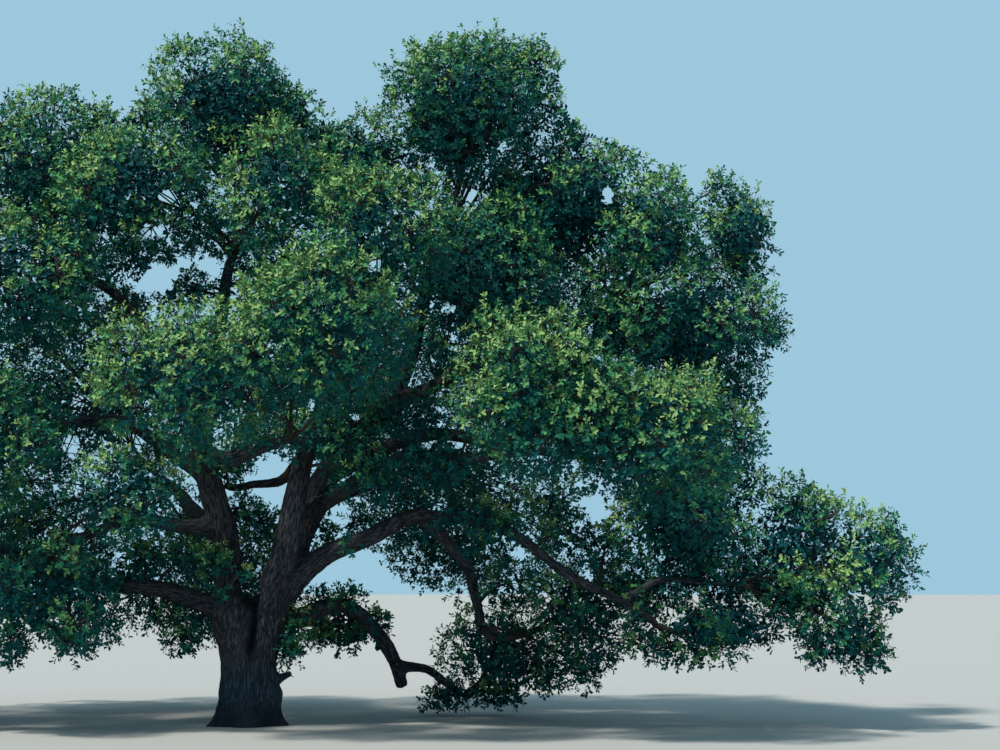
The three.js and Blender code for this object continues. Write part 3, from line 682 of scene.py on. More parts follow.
# Wood: tubes fused by a voxel remesh, then cut flat at the ground and given bark
TRUNK_SIDES = 72
TRUNK_RINGS = 60
CROTCH_RINGS = [0.75, 0.5, 0.25]
LIMB_SIDES = 24
LIMB_RING_EVERY = 0.12
LEAST_RINGS = 8
STUB_SIDES = 16
VOXEL = 0.054
SMOOTHINGS = 3
FINE_BELOW = 3.7
FINE_REACH = 1.25
BELOW_GROUND = 0.25
BEAD_EVERY = 0.1
TRUNK_BEARINGS = np.linspace(-3, 3, 24)
POINTS_AT_A_TIME = 20000

# The bark's relief: plates with furrows between them, knobs, and broad swells on the limbs
PLATES_PER_METRE = np.array([12.5, 12.5, 1.9])
PLATES_PART = (0.03, 0.34)
THINNEST_ROUND = 0.08
LIMBS_APART = 9.0
SWAYS_PER_METRE = [1.2, 1.2, 0.9]
SWAY = 0.05
FURROW_SHARE = 0.036
FURROW_DEPTHS = (0.004, 0.024)
# How dark the painted shade in the furrows is: least, and how much more with the sway
FURROW_SHADE = (0.75, 0.5)
KNOBS_PER_METRE = 3.1
KNOB_SHARE = 0.05
SWELLS_PER_METRE = 1.1
SWELL_SHIFT = 7
SWELL_SHARE = 0.1
SWELL_BELOW = WAIST_RADIUS * 0.9

# The fold under the crotch, cut into the bark and painted dark with the shade in it
GROOVE_X = 0.12
GROOVE_WANDER = 0.04
GROOVE_WAVES = 3.1
GROOVE_LEAN = 0.05
GROOVE_MIDDLE = 2.4
GROOVE_HALF_WIDTH = 0.11
GROOVE_WIDENS = 0.1
GROOVE_DEPTH = 0.24
GROOVE_SHADE = 1.6
GROOVE_FROM = (1.25, 1.95)
GROOVE_TO = (3.25, 3.6)
GROOVE_WIDE = (2.5, 3.2)

# Swellings of the trunk and fork: middle, reach, rise
SWELLINGS = [
    ((-0.5, -0.7, 2.75), (0.3, 0.5, 0.34), 0.09),
    ((-0.62, -0.4, 3.35), (0.25, 0.5, 0.25), 0.05),
    ((0.6, -0.6, 2.5), (0.25, 0.5, 0.5), 0.04),
    ((2.2, 1.9, 2.2), (0.3, 0.4, 0.2), 0.05),
    ((0.72, -0.05, 0.66), (0.3, 0.5, 0.3), 0.13),
]

# Short stubs of lost branches: foot, tip, radius at both
STUBS = [
    ((0.4, 0, 0.98), (1.05, -0.06, 1.22), (0.15, 0.095)),
    ((3.15, 2.95, 1.9), (2.82, 2.9, 1.66), (0.11, 0.085)),
]

# The lower trunk is painted bluish, as shade lit by the sky, and its foot is painted dark, as
# shade. Fades give where they start and end, and edges their lumps per metre and how far those go.
SKY_SHADE_FADES = (0.9, 2.1)
SKY_SHADE_EDGE = (1.7, 0.5)
FOOT_SHADED = (0.15, 0.6)
FOOT_EDGE = 0.3
FOOT_SHADE = 0.9
FOOT_REACH = 1.6

# The bark of the limbs is painted darker, as the crown's shade, from this height to that, and above
LIMBS_SHADED = (4.3, 6.2)
LIMB_SHADE = 0.5

# Moss on what faces up
MOSS_FADES = (0.3, 0.9)
MOSS_EDGE = (2.7, 0.4)

# Bare rust-brown scars in the bark: middle and reach
RUST_FADES = (0.05, 0.4)
RUST_EDGE = (6.3, 0.35)
RUST_SCARS = [
    ((0.95, -0.1, 4.12), (0.2, 0.8, 0.6)),
    ((0.72, 0, 6.4), (0.26, 0.9, 0.7)),
    ((1.2, 0, 4.9), (0.18, 0.6, 0.5)),
]


def trunk_rod():
    """The trunk from below the ground to the hump in its crotch"""
    angles = np.arange(TRUNK_SIDES) * 2 * np.pi / TRUNK_SIDES
    trunk_heights = np.linspace(0, FORK_HEIGHT, TRUNK_RINGS)
    over_fork = [FORK_HEIGHT] * len(CROTCH_RINGS)
    heights = np.concatenate([[-BELOW_GROUND], trunk_heights, over_fork])
    outs = np.concatenate([np.ones(TRUNK_RINGS + 1), CROTCH_RINGS])
    rings = []
    for height, out in zip(heights, outs):
        share = max(height, 0) / FORK_HEIGHT
        radius = out * trunk_radius(height, np.angle(np.exp(1j * angles)))
        x = TRUNK_LEAN[0] * share + radius * np.cos(angles)
        y = TRUNK_LEAN[1] * share + radius * np.sin(angles)
        z = np.full(TRUNK_SIDES, height + CROTCH_RISE * (1 - out))
        rings.append(np.stack([x, y, z], -1))
    low = (0, 0, -BELOW_GROUND)
    high = (*TRUNK_LEAN[:2], FORK_HEIGHT + CROTCH_RISE)
    return closed_rings(np.array(rings), low, high)


def limb_rod(name, curve):
    """A limb from its foot to its tip, to be fused with the rest"""
    rings = max(LEAST_RINGS, int(curve.length / LIMB_RING_EVERY))
    share = np.linspace(0, 1, rings + 1)
    return closed_rod(curve.at(share), limb_radius(name, curve.length, share), LIMB_SIDES)


def fused_wood(curves):
    """The trunk, limbs and stubs as one closed mesh"""
    parts = [trunk_rod()] + [limb_rod(name, curves[name]) for name in LIMBS]
    for foot, tip, radii in STUBS:
        line = np.linspace(foot, tip, LEAST_RINGS)
        parts.append(closed_rod(line, np.linspace(*radii, LEAST_RINGS), STUB_SIDES))
    rough = mesh_object("rough_wood", *joined(parts))
    fuse = rough.modifiers.new("fuse", "REMESH")
    fuse.mode = "VOXEL"
    fuse.voxel_size = VOXEL
    fuse.adaptivity = 0
    graph = bpy.context.evaluated_depsgraph_get()
    mesh = bpy.data.meshes.new_from_object(rough.evaluated_get(graph))
    bpy.data.objects.remove(rough)
    return mesh


def bark_beads(curves):
    """Points along every limb. The columns: point, radius, limb's number, length so far,
    way, side, over"""
    rows = []
    for index, (name, curve) in enumerate(curves.items()):
        share = np.linspace(0, 1, int(curve.length / BEAD_EVERY) + 2)
        line = curve.at(share)
        if name == "trunk":
            radius = np.mean([trunk_radius(line[:, 2], a) for a in TRUNK_BEARINGS], axis=0)
        else:
            radius = limb_radius(name, curve.length, share)
        number = np.full(len(share), index)
        frames = carried_frames(line)
        rows.append(np.column_stack([line, radius, number, share * curve.length, *frames]))
    return np.concatenate(rows)


def nearest_beads(points, beads):
    """The bead whose bark each point is closest to, and how far off that bark it is"""
    nearest = np.empty(len(points), int)
    off = np.empty(len(points))
    squares = (beads[:, :3] ** 2).sum(1)
    for start in range(0, len(points), POINTS_AT_A_TIME):
        now = slice(start, start + POINTS_AT_A_TIME)
        some = points[now]
        apart = (some**2).sum(1)[:, None] + squares - 2 * some @ beads[:, :3].T
        off_bark = np.sqrt(np.maximum(apart, 0)) - beads[:, 3]
        nearest[now] = off_bark.argmin(1)
        off[now] = off_bark.min(1)
    return nearest, off


def noise_at(places):
    return np.array([noise.noise(Vector(place)) for place in places])


def ragged(points, edge):
    """Noise that makes a patch's edge uneven, from its lumps per metre and its strength"""
    per_metre, strength = edge
    return strength * noise_at(points * per_metre)


def plates_at(places):
    """How deep in a crack between plates each place is, from 0 to 1"""
    nearest = np.array([noise.voronoi(Vector(place))[0][:2] for place in places])
    return 1 - smoothstep(nearest[:, 1] - nearest[:, 0], *PLATES_PART)


def cut_wood(mesh):
    """The fused wood smoothed, cut flat at the ground, and made finer round the trunk"""
    work = bmesh.new()
    work.from_mesh(mesh)
    for _ in range(SMOOTHINGS):
        bmesh.ops.smooth_vert(
            work, verts=work.verts, factor=0.5, use_axis_x=True, use_axis_y=True, use_axis_z=True
        )
    everything = work.verts[:] + work.edges[:] + work.faces[:]
    cut = bmesh.ops.bisect_plane(
        work, geom=everything, plane_co=(0, 0, 0), plane_no=(0, 0, -1), clear_outer=True
    )
    rim = [item for item in cut["geom_cut"] if isinstance(item, bmesh.types.BMEdge)]
    bmesh.ops.contextual_create(work, geom=rim)
    fine = [
        edge
        for edge in work.edges
        if all(v.co.z < FINE_BELOW and math.hypot(*v.co.xy) < FINE_REACH for v in edge.verts)
        and any(v.co.z > MILLIMETRE for v in edge.verts)
    ]
    bmesh.ops.subdivide_edges(work, edges=fine, cuts=1, use_grid_fill=True)
    work.normal_update()
    return work


def bark_places(points, bead):
    """Each point's place in the bark's pattern: round its limb, and along it"""
    from_line = points - bead[:, :3]
    along, aside, over = ((from_line * bead[:, k : k + 3]).sum(1) for k in (6, 9, 12))
    around = np.stack([aside, over], -1)
    around = around / np.maximum(lengths(around), 1e-6)[:, None]
    thick = np.maximum(bead[:, 3], THINNEST_ROUND)
    along = bead[:, 5] + along + LIMBS_APART * bead[:, 4]
    return np.column_stack([around * thick[:, None], along])


def barked(mesh, curves):
    """Gives the wood its relief, and the values and places that its material reads"""
    work = cut_wood(mesh)
    points = np.array([v.co for v in work.verts])
    normals = np.array([v.normal for v in work.verts])
    beads = bark_beads(curves)
    bead = beads[nearest_beads(points, beads)[0]]
    place = bark_places(points, bead)
    thick = bead[:, 3]

    sway = noise_at(place * SWAYS_PER_METRE)
    warped = place + np.column_stack([SWAY * sway, -SWAY * sway, 0 * sway])
    furrow_shade = plates_at(warped * PLATES_PER_METRE)
    knobs = noise_at(points * KNOBS_PER_METRE)
    swell = noise_at(points * SWELLS_PER_METRE + SWELL_SHIFT)
    height = -np.clip(FURROW_SHARE * thick, *FURROW_DEPTHS) * furrow_shade
    height = height + SWELL_SHARE * thick * swell * (thick < SWELL_BELOW)
    height = height + KNOB_SHARE * thick * knobs
    groove = groove_at(points)
    height = height - GROOVE_DEPTH * groove
    for middle, reach, rise in SWELLINGS:
        height += rise * np.exp(-(lengths((points - middle) / reach) ** 2))

    # Painted shade, kept in the furrow layer: dark in the furrows, in the fold under the crotch, at
    # the foot and on the upper limbs
    least, more = FURROW_SHADE
    furrow_shade = np.maximum(furrow_shade * (least + more * sway), GROOVE_SHADE * groove)
    # Painted shade at the foot of the trunk
    foot = 1 - smoothstep(points[:, 2] + FOOT_EDGE * swell, *FOOT_SHADED)
    foot = foot * (lengths(points[:, :2]) < FOOT_REACH)
    furrow_shade = np.maximum(furrow_shade, FOOT_SHADE * foot)
    # Painted shade of the crown on the upper limbs
    furrow_shade = np.maximum(furrow_shade, LIMB_SHADE * smoothstep(points[:, 2], *LIMBS_SHADED))

    above_cut = points[:, 2] > MILLIMETRE
    points = points + normals * (height * above_cut)[:, None]
    points[:, 2] = np.maximum(points[:, 2], 0)
    for vertex, spot in zip(work.verts, points):
        vertex.co = spot
    out = bpy.data.meshes.new("bark")
    work.to_mesh(out)
    work.free()

    rust = np.zeros(len(points))
    for middle, reach in RUST_SCARS:
        near = 1 - lengths((points - middle) / reach)
        rust = np.maximum(rust, smoothstep(near + ragged(points, RUST_EDGE), *RUST_FADES))
    # Painted shade lit by the sky: the lower trunk bluish, fading upwards
    painted_sky_shade = 1 - smoothstep(points[:, 2] + ragged(points, SKY_SHADE_EDGE), *SKY_SHADE_FADES)
    put_layer(out, "furrow_shade", furrow_shade)
    put_layer(out, "moss", smoothstep(normals[:, 2] + ragged(points, MOSS_EDGE), *MOSS_FADES))
    put_layer(out, "rust", rust)
    put_layer(out, "painted_sky_shade", painted_sky_shade * (lengths(points[:, :2]) < FOOT_REACH))
    put_layer(out, "bark_place", place)
    return out


def groove_at(points):
    """The fold that runs down the front and back of the trunk from the crotch, cut in and painted
    dark as shade
    """
    x, _, z = points.T
    wander = GROOVE_X + GROOVE_WANDER * np.sin(GROOVE_WAVES * z) - GROOVE_LEAN * (z - GROOVE_MIDDLE)
    down = smoothstep(z, *GROOVE_FROM) * (1 - smoothstep(z, *GROOVE_TO))
    half_width = GROOVE_HALF_WIDTH + GROOVE_WIDENS * smoothstep(z, *GROOVE_WIDE)
    return np.exp(-(((x - wander) / half_width) ** 2)) * down


def put_layer(mesh, name, values):
    """Numbers or places at a mesh's points, for its material"""
    kind, field = ("FLOAT", "value") if values.ndim == 1 else ("FLOAT_VECTOR", "vector")
    layer = mesh.attributes.new(name, kind, "POINT")
    layer.data.foreach_set(field, np.ascontiguousarray(values, np.float32).ravel())


# Foliage spaces: a point belongs to the mass that it is deepest in
class Mass:
    """An ellipsoid of foliage, carried by a limb's tip or by the trunk"""

    def __init__(self, on, middle, reach, sunny, seed):
        self.on, self.sunny, self.seed = on, sunny, seed
        self.middle, self.reach = np.array(middle), np.array(reach)

    def meets(self, other):
        apart = (other.middle - self.middle) / (other.reach + self.reach)
        return lengths(apart) < NEIGHBOURS_WITHIN

    def depth(self, points):
        return lengths((points - self.middle) / self.reach)

    def place(self, ways, depth):
        return self.middle + ways * self.reach * np.asarray(depth)[..., None]

    def owns(self, points):
        depth = self.depth(points)
        own = (depth < OUTERMOST) & (points[..., 2] > LIMB_ROOM)
        for other in self.neighbours:
            own &= depth < other.depth(points)
        return own

    def room(self, ways):
        """The share of the way to the ellipsoid's surface that is the mass's own"""
        room = np.full(len(ways), 1.0)
        for depth in np.arange(1.0, LEAST_ROOM, -ROOM_STEP):
            room = np.where(self.owns(self.place(ways, depth - 0.01)), room, depth - ROOM_STEP)
        return room

    def area(self):
        a, b, c = self.reach**AREA_POWER
        return 4 * math.pi * ((a * b + a * c + b * c) / 3) ** (1 / AREA_POWER)


def all_masses(curves):
    masses = [Mass(*row, index + 1) for index, row in enumerate(MASSES.values())]
    for mass in masses:
        mass.neighbours = [other for other in masses if other is not mass and mass.meets(other)]
        mass.stem, mass.stem_radius = stem_of(mass, masses, curves)
    return masses


def stem_of(mass, masses, curves):
    """The stems of the masses on one tip stand side by side on its end face"""
    if mass.on == "trunk":
        foot = curves["trunk"].at(TRUNK_STEM_AT)
        bend = (foot + mass.middle) / 2 + TRUNK_STEM_RISE * UP
        return LimbCurve(foot, bend, mass.middle, 0, 0), TRUNK_STEM_RADIUS
    axis = curves[mass.on].heading(1)
    tip = curves[mass.on].at(1)
    side = unit(np.cross(UP, axis))
    over = np.cross(axis, side)

    def bearing(other):
        way = other.middle - tip
        return math.atan2(way @ over, way @ side)

    twins = sorted((other for other in masses if other.on == mass.on), key=bearing)
    turn = bearing(twins[0]) + 2 * math.pi * twins.index(mass) / len(twins)
    thick = LIMBS[mass.on][5][1]
    offset = STEM_OFFSETS[len(twins)] * thick
    foot = tip + axis * CLEAR + (side * math.cos(turn) + over * math.sin(turn)) * offset
    far = lengths(foot - mass.middle)
    bend = foot + axis * STEM_BEND * far
    return LimbCurve(foot, bend, mass.middle, 0, 0), STEM_SHARES[len(twins)] * thick


def seen_at(points):
    """Where the camera sees each point, in pixels"""
    apart = points - EYE
    depth = apart[:, 1] * math.cos(PITCH) + apart[:, 2] * math.sin(PITCH)
    high = apart[:, 2] * math.cos(PITCH) - apart[:, 1] * math.sin(PITCH)
    x = PICTURE[0] / 2 + FOCAL_PIXELS * apart[:, 0] / depth
    return x, PICTURE[1] / 2 - FOCAL_PIXELS * high / depth


def in_gap(points):
    """Which points are gone from the openings and hollows that the camera sees"""
    x, y = seen_at(points)
    gone = np.zeros(len(points), bool)
    luck_x, luck_y, luck_z = (points * GAP_LUCK).T
    luck = chance(luck_x + luck_z, luck_y)
    for gaps, there in ((CROWN_GAPS, True), (BOUGH_HOLLOWS, points[:, 1] < HOLLOW_BEFORE)):
        for middle_x, middle_y, half_x, half_y, leafy in gaps:
            inside = ((x - middle_x) / half_x) ** 2 + ((y - middle_y) / half_y) ** 2 < 1
            gone |= inside & there & (luck >= leafy)
    return gone


# Leaves: corners and faces. The corners are base, lobe, notch, lobe, tip, and back by the
# other side.
LOBED_LEAF = (
    np.array([
        (0, 0, 0), (0.36, 0.2, 0.05), (0.52, 0.13, 0.03), (0.78, 0.25, 0.04), (1, 0, -0.07),
        (0.78, -0.25, 0.04), (0.52, -0.13, 0.03), (0.36, -0.2, 0.05),
    ]),
    np.array([(0, 2, 1), (0, 4, 2), (2, 4, 3), (0, 7, 6), (0, 6, 4), (6, 5, 4)]),
)
PLAIN_LEAF = (
    np.array([(0, 0, 0), (0.6, 0.27, 0.07), (1, 0, -0.05), (0.6, -0.27, 0.07)]),
    np.array([(0, 2, 1), (0, 3, 2)]),
)

SUN_WAY = unit(np.array([-0.42, -0.3, 0.86]))

# The tones of the leaves from most to least sun, and the share of the sprays down to each
TONES = ["sunlit", "bright", "green", "dull", "deep", "shade"]
TONE_SHARES = [0.105, 0.28, 0.48, 0.68, 0.87]

# What a spray's tone goes by: the light that reaches it, how far it faces the sun, how
# sunny its mass is, luck, and patches of so many metres
BY_LIGHT, BY_FACING, BY_SUNNY, BY_LUCK, BY_PATCH = 0.7, 0.26, 0.3, 0.24, 0.4
PATCH_SIZE = 1.1

# Leaves up to this share of their twig are a tone darker, painted shade inside the clump, and
# some of all leaves are a tone lighter or darker than their spray, painted flecks of sun and shade
# at random
SHADED_UP_TO = 0.6
LIGHTER_SHARE = 0.12
NOT_DARKER_SHARE = 0.85


def leaf_points(corners, roots, ways, facing, sizes):
    """Every leaf's corners: its base at its root, its tip along its way"""
    side = unit(np.cross(facing, ways))
    over = np.cross(ways, side)
    x, y, z = corners.T
    spread = ways[:, None] * x[:, None] + side[:, None] * y[:, None]
    spread = spread + over[:, None] * z[:, None]
    return roots[:, None] + spread * sizes[:, None, None]


class Foliage:
    """Gathers the twigs' tubes, the clumps and their sprays, and the leaves of each tone.
    The beads are the limbs' bark, which leaves keep off."""

    def __init__(self, beads):
        self.beads = beads
        self.wood = []
        self.clumps = []
        self.sprays = []
        self.size = 0
        self.leaves = {tone: [] for tone in LEAF_COLOURS}

    def add_leaves(self, tone, shape, kept, roots, ways, facing, sizes):
        """Those leaves of a list that are kept"""
        corners, faces = shape
        points = leaf_points(corners, roots[kept], ways[kept], facing[kept], sizes[kept])
        self.leaves[tone].append(copies(points, faces))

    def add_inner_leaves(self, roots, ways, seed, kept):
        """Broad leaves in the shade, in the inner tone: painted deep shade"""
        count = len(roots)
        facing = unit(ways + INNER_UP * UP + scatter(count, seed, 50))
        sizes = INNER_LEAF_LENGTH * ranged(LEAF_SIZES, count, seed, 9)
        self.add_leaves("inner", PLAIN_LEAF, kept, roots, inner_leans(count, seed), facing, sizes)

    def add_branches(self, lines, foot, tip):
        count, rings, _ = lines.shape
        radii = np.tile(np.linspace(foot, tip, rings), (count, 1))
        self.wood.append(tubes(lines, radii, BRANCH_SIDES))


class SprayGrid:
    """Counts the sprays in each cell, to tell how much of them light passes on its way"""

    def __init__(self, tips):
        self.low = tips.min(0) - SHADE_CELL
        cells = ((tips - self.low) / SHADE_CELL).astype(int)
        self.shape = cells.max(0) + 2
        self.grid = np.zeros(self.shape)
        np.add.at(self.grid, tuple(cells.T), 1)

    def passed(self, tips, way):
        passed = np.zeros(len(tips))
        for far in np.arange(SHADE_CELL, SHADE_REACH, SHADE_CELL):
            cells = ((tips + way * far - self.low) / SHADE_CELL).astype(int)
            inside = (cells < self.shape).all(1) & (cells >= 0).all(1)
            passed[inside] += self.grid[tuple(cells[inside].T)]
        return passed


def bowed(starts, ends, rise, rings):
    """Lines from starts to ends that bow upwards"""
    t = np.linspace(0, 1, rings)[None, :, None]
    lines = starts[:, None] * (1 - t) + ends[:, None] * t
    return lines + UP * (rise * 4 * t * (1 - t) * lengths(ends - starts)[:, None, None])


def inner_leans(count, seed):
    """Which way each broad inner leaf points"""
    return unit(scatter(count, seed, 53))


def lobes_of(mass):
    """Rounded lobes all over the open side of a mass: their ways, centres and radii"""
    count = max(LEAST_LOBES, int(mass.area() * LOBES_PER_SQUARE_METRE))
    ways = golden_ways(count, mass.seed * LOBE_TURN)
    ways = unit(ways + LOBE_SCATTER * scatter(count, mass.seed, 20))
    least, more = LOBE_SIZES
    radii = LOBE_RADIUS * (least + more * deal(count, mass.seed, 23) ** LOBE_SIZE_POWER)
    radii = np.minimum(radii, WIDEST_LOBE * mass.reach.min())
    hull = 1 + HULL_LUMP * noise_at(mass.place(ways, 1) / HULL_LUMP_SIZE)
    depth = np.minimum(hull, OUTERMOST - LOBE_INSET) - radii / lengths(ways * mass.reach)
    centres = mass.place(ways, depth)
    kept = np.ones(count, bool)
    for other in mass.neighbours:
        kept &= other.depth(mass.place(ways, depth + LOBE_COVERED)) > BURIED
    return ways[kept], centres[kept], radii[kept]


def grow_branches(mass, foliage, centres):
    """The stem, and a branch from it to the centre of each lobe"""
    share = np.linspace(0, 1, STEM_RINGS)
    radii = mass.stem_radius * (1 - (1 - STEM_TIP_SHARE) * share)
    foliage.wood.append(tubes(mass.stem.at(share)[None], radii[None], STEM_SIDES))
    starts = mass.stem.at(ranged(BRANCHES_FROM, len(centres), mass.seed, 1))
    lines = bowed(starts, centres, BRANCH_RISE, BRANCH_RINGS)
    foliage.add_branches(lines, mass.stem_radius * BRANCH_SHARE, BRANCH_TIP)


def clump_count(radius, per_square_metre, least):
    """How many clumps a round lobe carries"""
    return int(4 * math.pi * radius**2 * per_square_metre) + least


def clumps_of(mass, ways, centres, radii):
    """Clumps round each lobe where no other lobe covers them: lobe, place and way"""
    lobe, hubs, outs = [], [], []
    normals = unit(ways / mass.reach)
    inner = radii - CLUMP_INSET
    per_square_metre = CLUMPS_PER_SQUARE_METRE * (BACK_SHARE if mass.middle[1] > BACK_FROM else 1)
    for index, (normal, centre, radius) in enumerate(zip(normals, centres, inner)):
        count = clump_count(radius, per_square_metre, LEAST_CLUMPS)
        round_lobe = golden_ways(count, mass.seed + CLUMP_TURN * index)
        spots = centre + round_lobe * radius
        apart = lengths(spots[:, None] - centres[None])
        apart[:, index] = np.inf
        kept = (round_lobe @ normal > CLUMPS_FACE) & (apart > inner * CLUMP_OVERLAP).all(1)
        for other in mass.neighbours:
            kept &= other.depth(spots) > BURIED
        lobe.append(np.full(kept.sum(), index))
        hubs.append(spots[kept])
        outs.append(unit(round_lobe[kept] + CLUMP_OUTWARD * normal + CLUMP_LIFT * UP))
    return np.concatenate(lobe), np.concatenate(hubs), np.concatenate(outs)


def grow_mass(mass, foliage):
    """The sprays on a mass's lobes, and the broad leaves in their shade"""
    seed = mass.seed
    ways, centres, radii = lobes_of(mass)
    grow_branches(mass, foliage, centres)
    lobe, hubs, outs = clumps_of(mass, ways, centres, radii)
    sizes = ranged(CLUMP_SIZES, len(hubs), seed, 21)
    twigs, sunny = TWIGS_PER_CLUMP, mass.sunny
    grow_sprays(foliage, centres[lobe], hubs, outs, sizes, twigs, seed, sunny, mass)

    count = int(mass.area() * (INNER_PER_SQUARE_METRE + INNER_DARK * max(0, -sunny)))
    ways = golden_ways(count, seed * INNER_TURN)
    depth = np.minimum(ranged(INNER_DEPTHS, count, seed, 8), mass.room(ways) - INNER_INSET)
    roots = mass.place(ways, depth)
    middles = roots + 0.5 * INNER_LEAF_LENGTH * inner_leans(count, seed)
    _, off = nearest_beads(roots, foliage.beads)
    foliage.add_inner_leaves(roots, ways, seed, ~in_gap(middles) & (off > INNER_CLEAR))


def grow_sprays(foliage, feet, hubs, outs, sizes, twigs, seed, sunny, mass=None):
    """Twigs that fan out from each hub, each to carry a spray of leaves"""
    which = np.repeat(np.arange(len(hubs)), twigs)
    count = len(which)
    step = np.tile(np.arange(twigs), len(hubs))
    level = 1 - TWIGS_DOWN_TO * (step + 0.5) / twigs
    flat = np.sqrt(1 - level * level)
    turn = step * GOLDEN_ANGLE + 2 * np.pi * deal(len(hubs), seed, 2)[which]
    first, second = sides_of(outs)
    ways = turned(first[which], second[which], turn, flat) + outs[which] * level[:, None]
    ways = unit(ways + TWIG_SCATTER * scatter(count, seed, 30))
    reach = CLUMP_RADIUS * sizes[which] * ranged(CLUMP_REACHES, count, seed, 3)
    tips = hubs[which] + ways * reach[:, None]
    _, off = nearest_beads(tips, foliage.beads)
    kept = ~in_gap(tips) & (off > LIMB_ROOM)
    if mass is not None:
        kept &= mass.depth(tips) < OUTERMOST
    clump = (which + foliage.size)[kept]
    foliage.clumps.append((feet, hubs, outs))
    foliage.sprays.append((clump, tips[kept], ways[kept], np.full(len(clump), float(sunny))))
    foliage.size += len(hubs)


def tones_of(light, tips, ways, sunny):
    """The tone of each spray, from the sun that reaches it"""
    light = BY_LIGHT * light + BY_FACING * (ways @ SUN_WAY) + BY_SUNNY * sunny
    light = light + BY_LUCK * (deal(len(tips), 5, 4) - 0.5) + BY_PATCH * noise_at(tips / PATCH_SIZE)
    return np.digitize(-light, np.quantile(-light, TONE_SHARES))


def grow_twigs_and_leaves(foliage):
    """Leaves stand up each spray's twig by the golden angle, the last at its tip"""
    feet, hubs, outs = (np.concatenate(part) for part in zip(*foliage.clumps))
    clump, tips, twig_ways, sunny = (np.concatenate(part) for part in zip(*foliage.sprays))
    light = np.exp(-SHADE_PER_SPRAY * SprayGrid(tips).passed(tips, SUN_WAY))
    tones = tones_of(light, tips, twig_ways, sunny)
    used = np.unique(clump)
    foliage.wood.append(thorns(feet[used], hubs[used], CLUMP_TWIG_RADIUS))
    foliage.wood.append(thorns(hubs[clump], tips, TWIG_RADIUS))

    sprays, count = len(tips), LEAVES_PER_TWIG
    total = sprays * count
    step = np.tile(np.arange(count), sprays)
    twig = np.repeat(np.arange(sprays), count)
    turn = step * GOLDEN_ANGLE + 2 * np.pi * deal(sprays, 1, 5)[twig]
    turn = turn + LEAF_TURNS * deal(total, 1, 6)
    first, second = sides_of(twig_ways)
    spread = turned(first[twig], second[twig], turn)
    ways = unit(spread + ranged(LEAF_AHEAD, total, 1, 7)[:, None] * twig_ways[twig])
    share = 1 - LEAVES_ALONG * (1 - step / (count - 1)) ** LEAVES_ALONG_POWER
    roots = hubs[clump][twig] + (tips - hubs[clump])[twig] * share[:, None]
    facing = LEAF_FACES_TWIG * twig_ways[twig] + LEAF_FACES_OUT * outs[clump][twig]
    facing = unit(facing + LEAF_FACES_UP * UP + LEAF_SCATTER * scatter(total, 1, 40))
    sizes = LEAF_LENGTH * ranged(LEAF_SIZES, total, 1, 14)

    above_ground = (roots + ways * sizes[:, None])[:, 2] > LIMB_ROOM
    near_tip = step >= count - LOBED_LEAVES
    luck = deal(total, 1, 15)
    # Painted shade a tone darker near the hub, and painted flecks of sun and shade a tone either
    # way
    tone = tones[twig] + (share < SHADED_UP_TO) + (luck > NOT_DARKER_SHARE)
    tone = np.clip(tone - (luck < LIGHTER_SHARE), 0, len(TONES) - 1)
    for index, name in enumerate(TONES):
        for some, shape in ((near_tip, LOBED_LEAF), (~near_tip, PLAIN_LEAF)):
            kept = above_ground & some & (tone == index)
            foliage.add_leaves(name, shape, kept, roots, ways, facing, sizes)


def grow_shoots(name, curve, foliage, seed):
    """Short leafy shoots round a limb, dealt out along it by the golden angle"""
    start = SHOOTS_FROM[name]
    count = int(curve.length * (1 - start) / SHOOT_EVERY)
    share = start + (1 - start) * (np.arange(count) + 0.5) / count
    feet, along = curve.at(share), curve.heading(share)
    turn = np.arange(count) * GOLDEN_ANGLE + seed
    ways = unit(turned(*sides_of(along), turn) + SHOOT_AHEAD * along)
    far = limb_radius(name, curve.length, share)
    far = far + SHOOT_LENGTH * ranged(SHOOT_REACHES, count, seed, 1)
    hubs = feet + ways * far[:, None]
    sizes = ranged(SHOOT_SIZES, count, seed, 2)
    grow_sprays(foliage, feet, hubs, ways, sizes, SHOOT_TWIGS, seed, SHOOT_SUN)


def grow_tuft(foliage, curve, middle, radius, sunny, seed):
    """A lobe of foliage on a branch of its own, where the masses leave a hollow"""
    line = curve.at(TUFT_FROM)
    foot = line[lengths(line - middle).argmin()]
    branch = bowed(foot[None], middle[None], TUFT_RISE, BRANCH_RINGS)
    foliage.add_branches(branch, *TUFT_BRANCH)

    count = clump_count(radius - TUFT_INSET, CLUMPS_PER_SQUARE_METRE, TUFT_CLUMPS)
    ways = golden_ways(count, seed)
    hubs = middle + ways * (radius - TUFT_INSET) * TUFT_SQUASH
    feet = np.repeat(middle[None], count, 0)
    outs = unit(ways + CLUMP_LIFT * UP)
    sizes = ranged(TUFT_SIZES, count, seed, 21)
    grow_sprays(foliage, feet, hubs, outs, sizes, TWIGS_PER_CLUMP - 1, seed, sunny)

    least, more = TUFT_INNER
    count = least + int(more * radius**2)
    ways = golden_ways(count, seed + TUFT_INNER_TURN)
    far = TUFT_INNER_REACH * radius * deal(count, seed, 8) ** TUFT_INNER_POWER
    roots = middle + ways * far[:, None]
    foliage.add_inner_leaves(roots, ways, seed, ~in_gap(roots))


def grow_sprouts(foliage):
    """Leafy sprouts straight from the trunk, the fork and the bough on the ground"""
    for index, (foot, hub, size, sunny) in enumerate(SPROUTS):
        feet, hubs, sizes = np.array([foot]), np.array([hub]), np.array([size])
        seed = SPROUT_SEED + index
        grow_sprays(foliage, feet, hubs, unit(hubs - feet), sizes, SHOOT_TWIGS, seed, sunny)


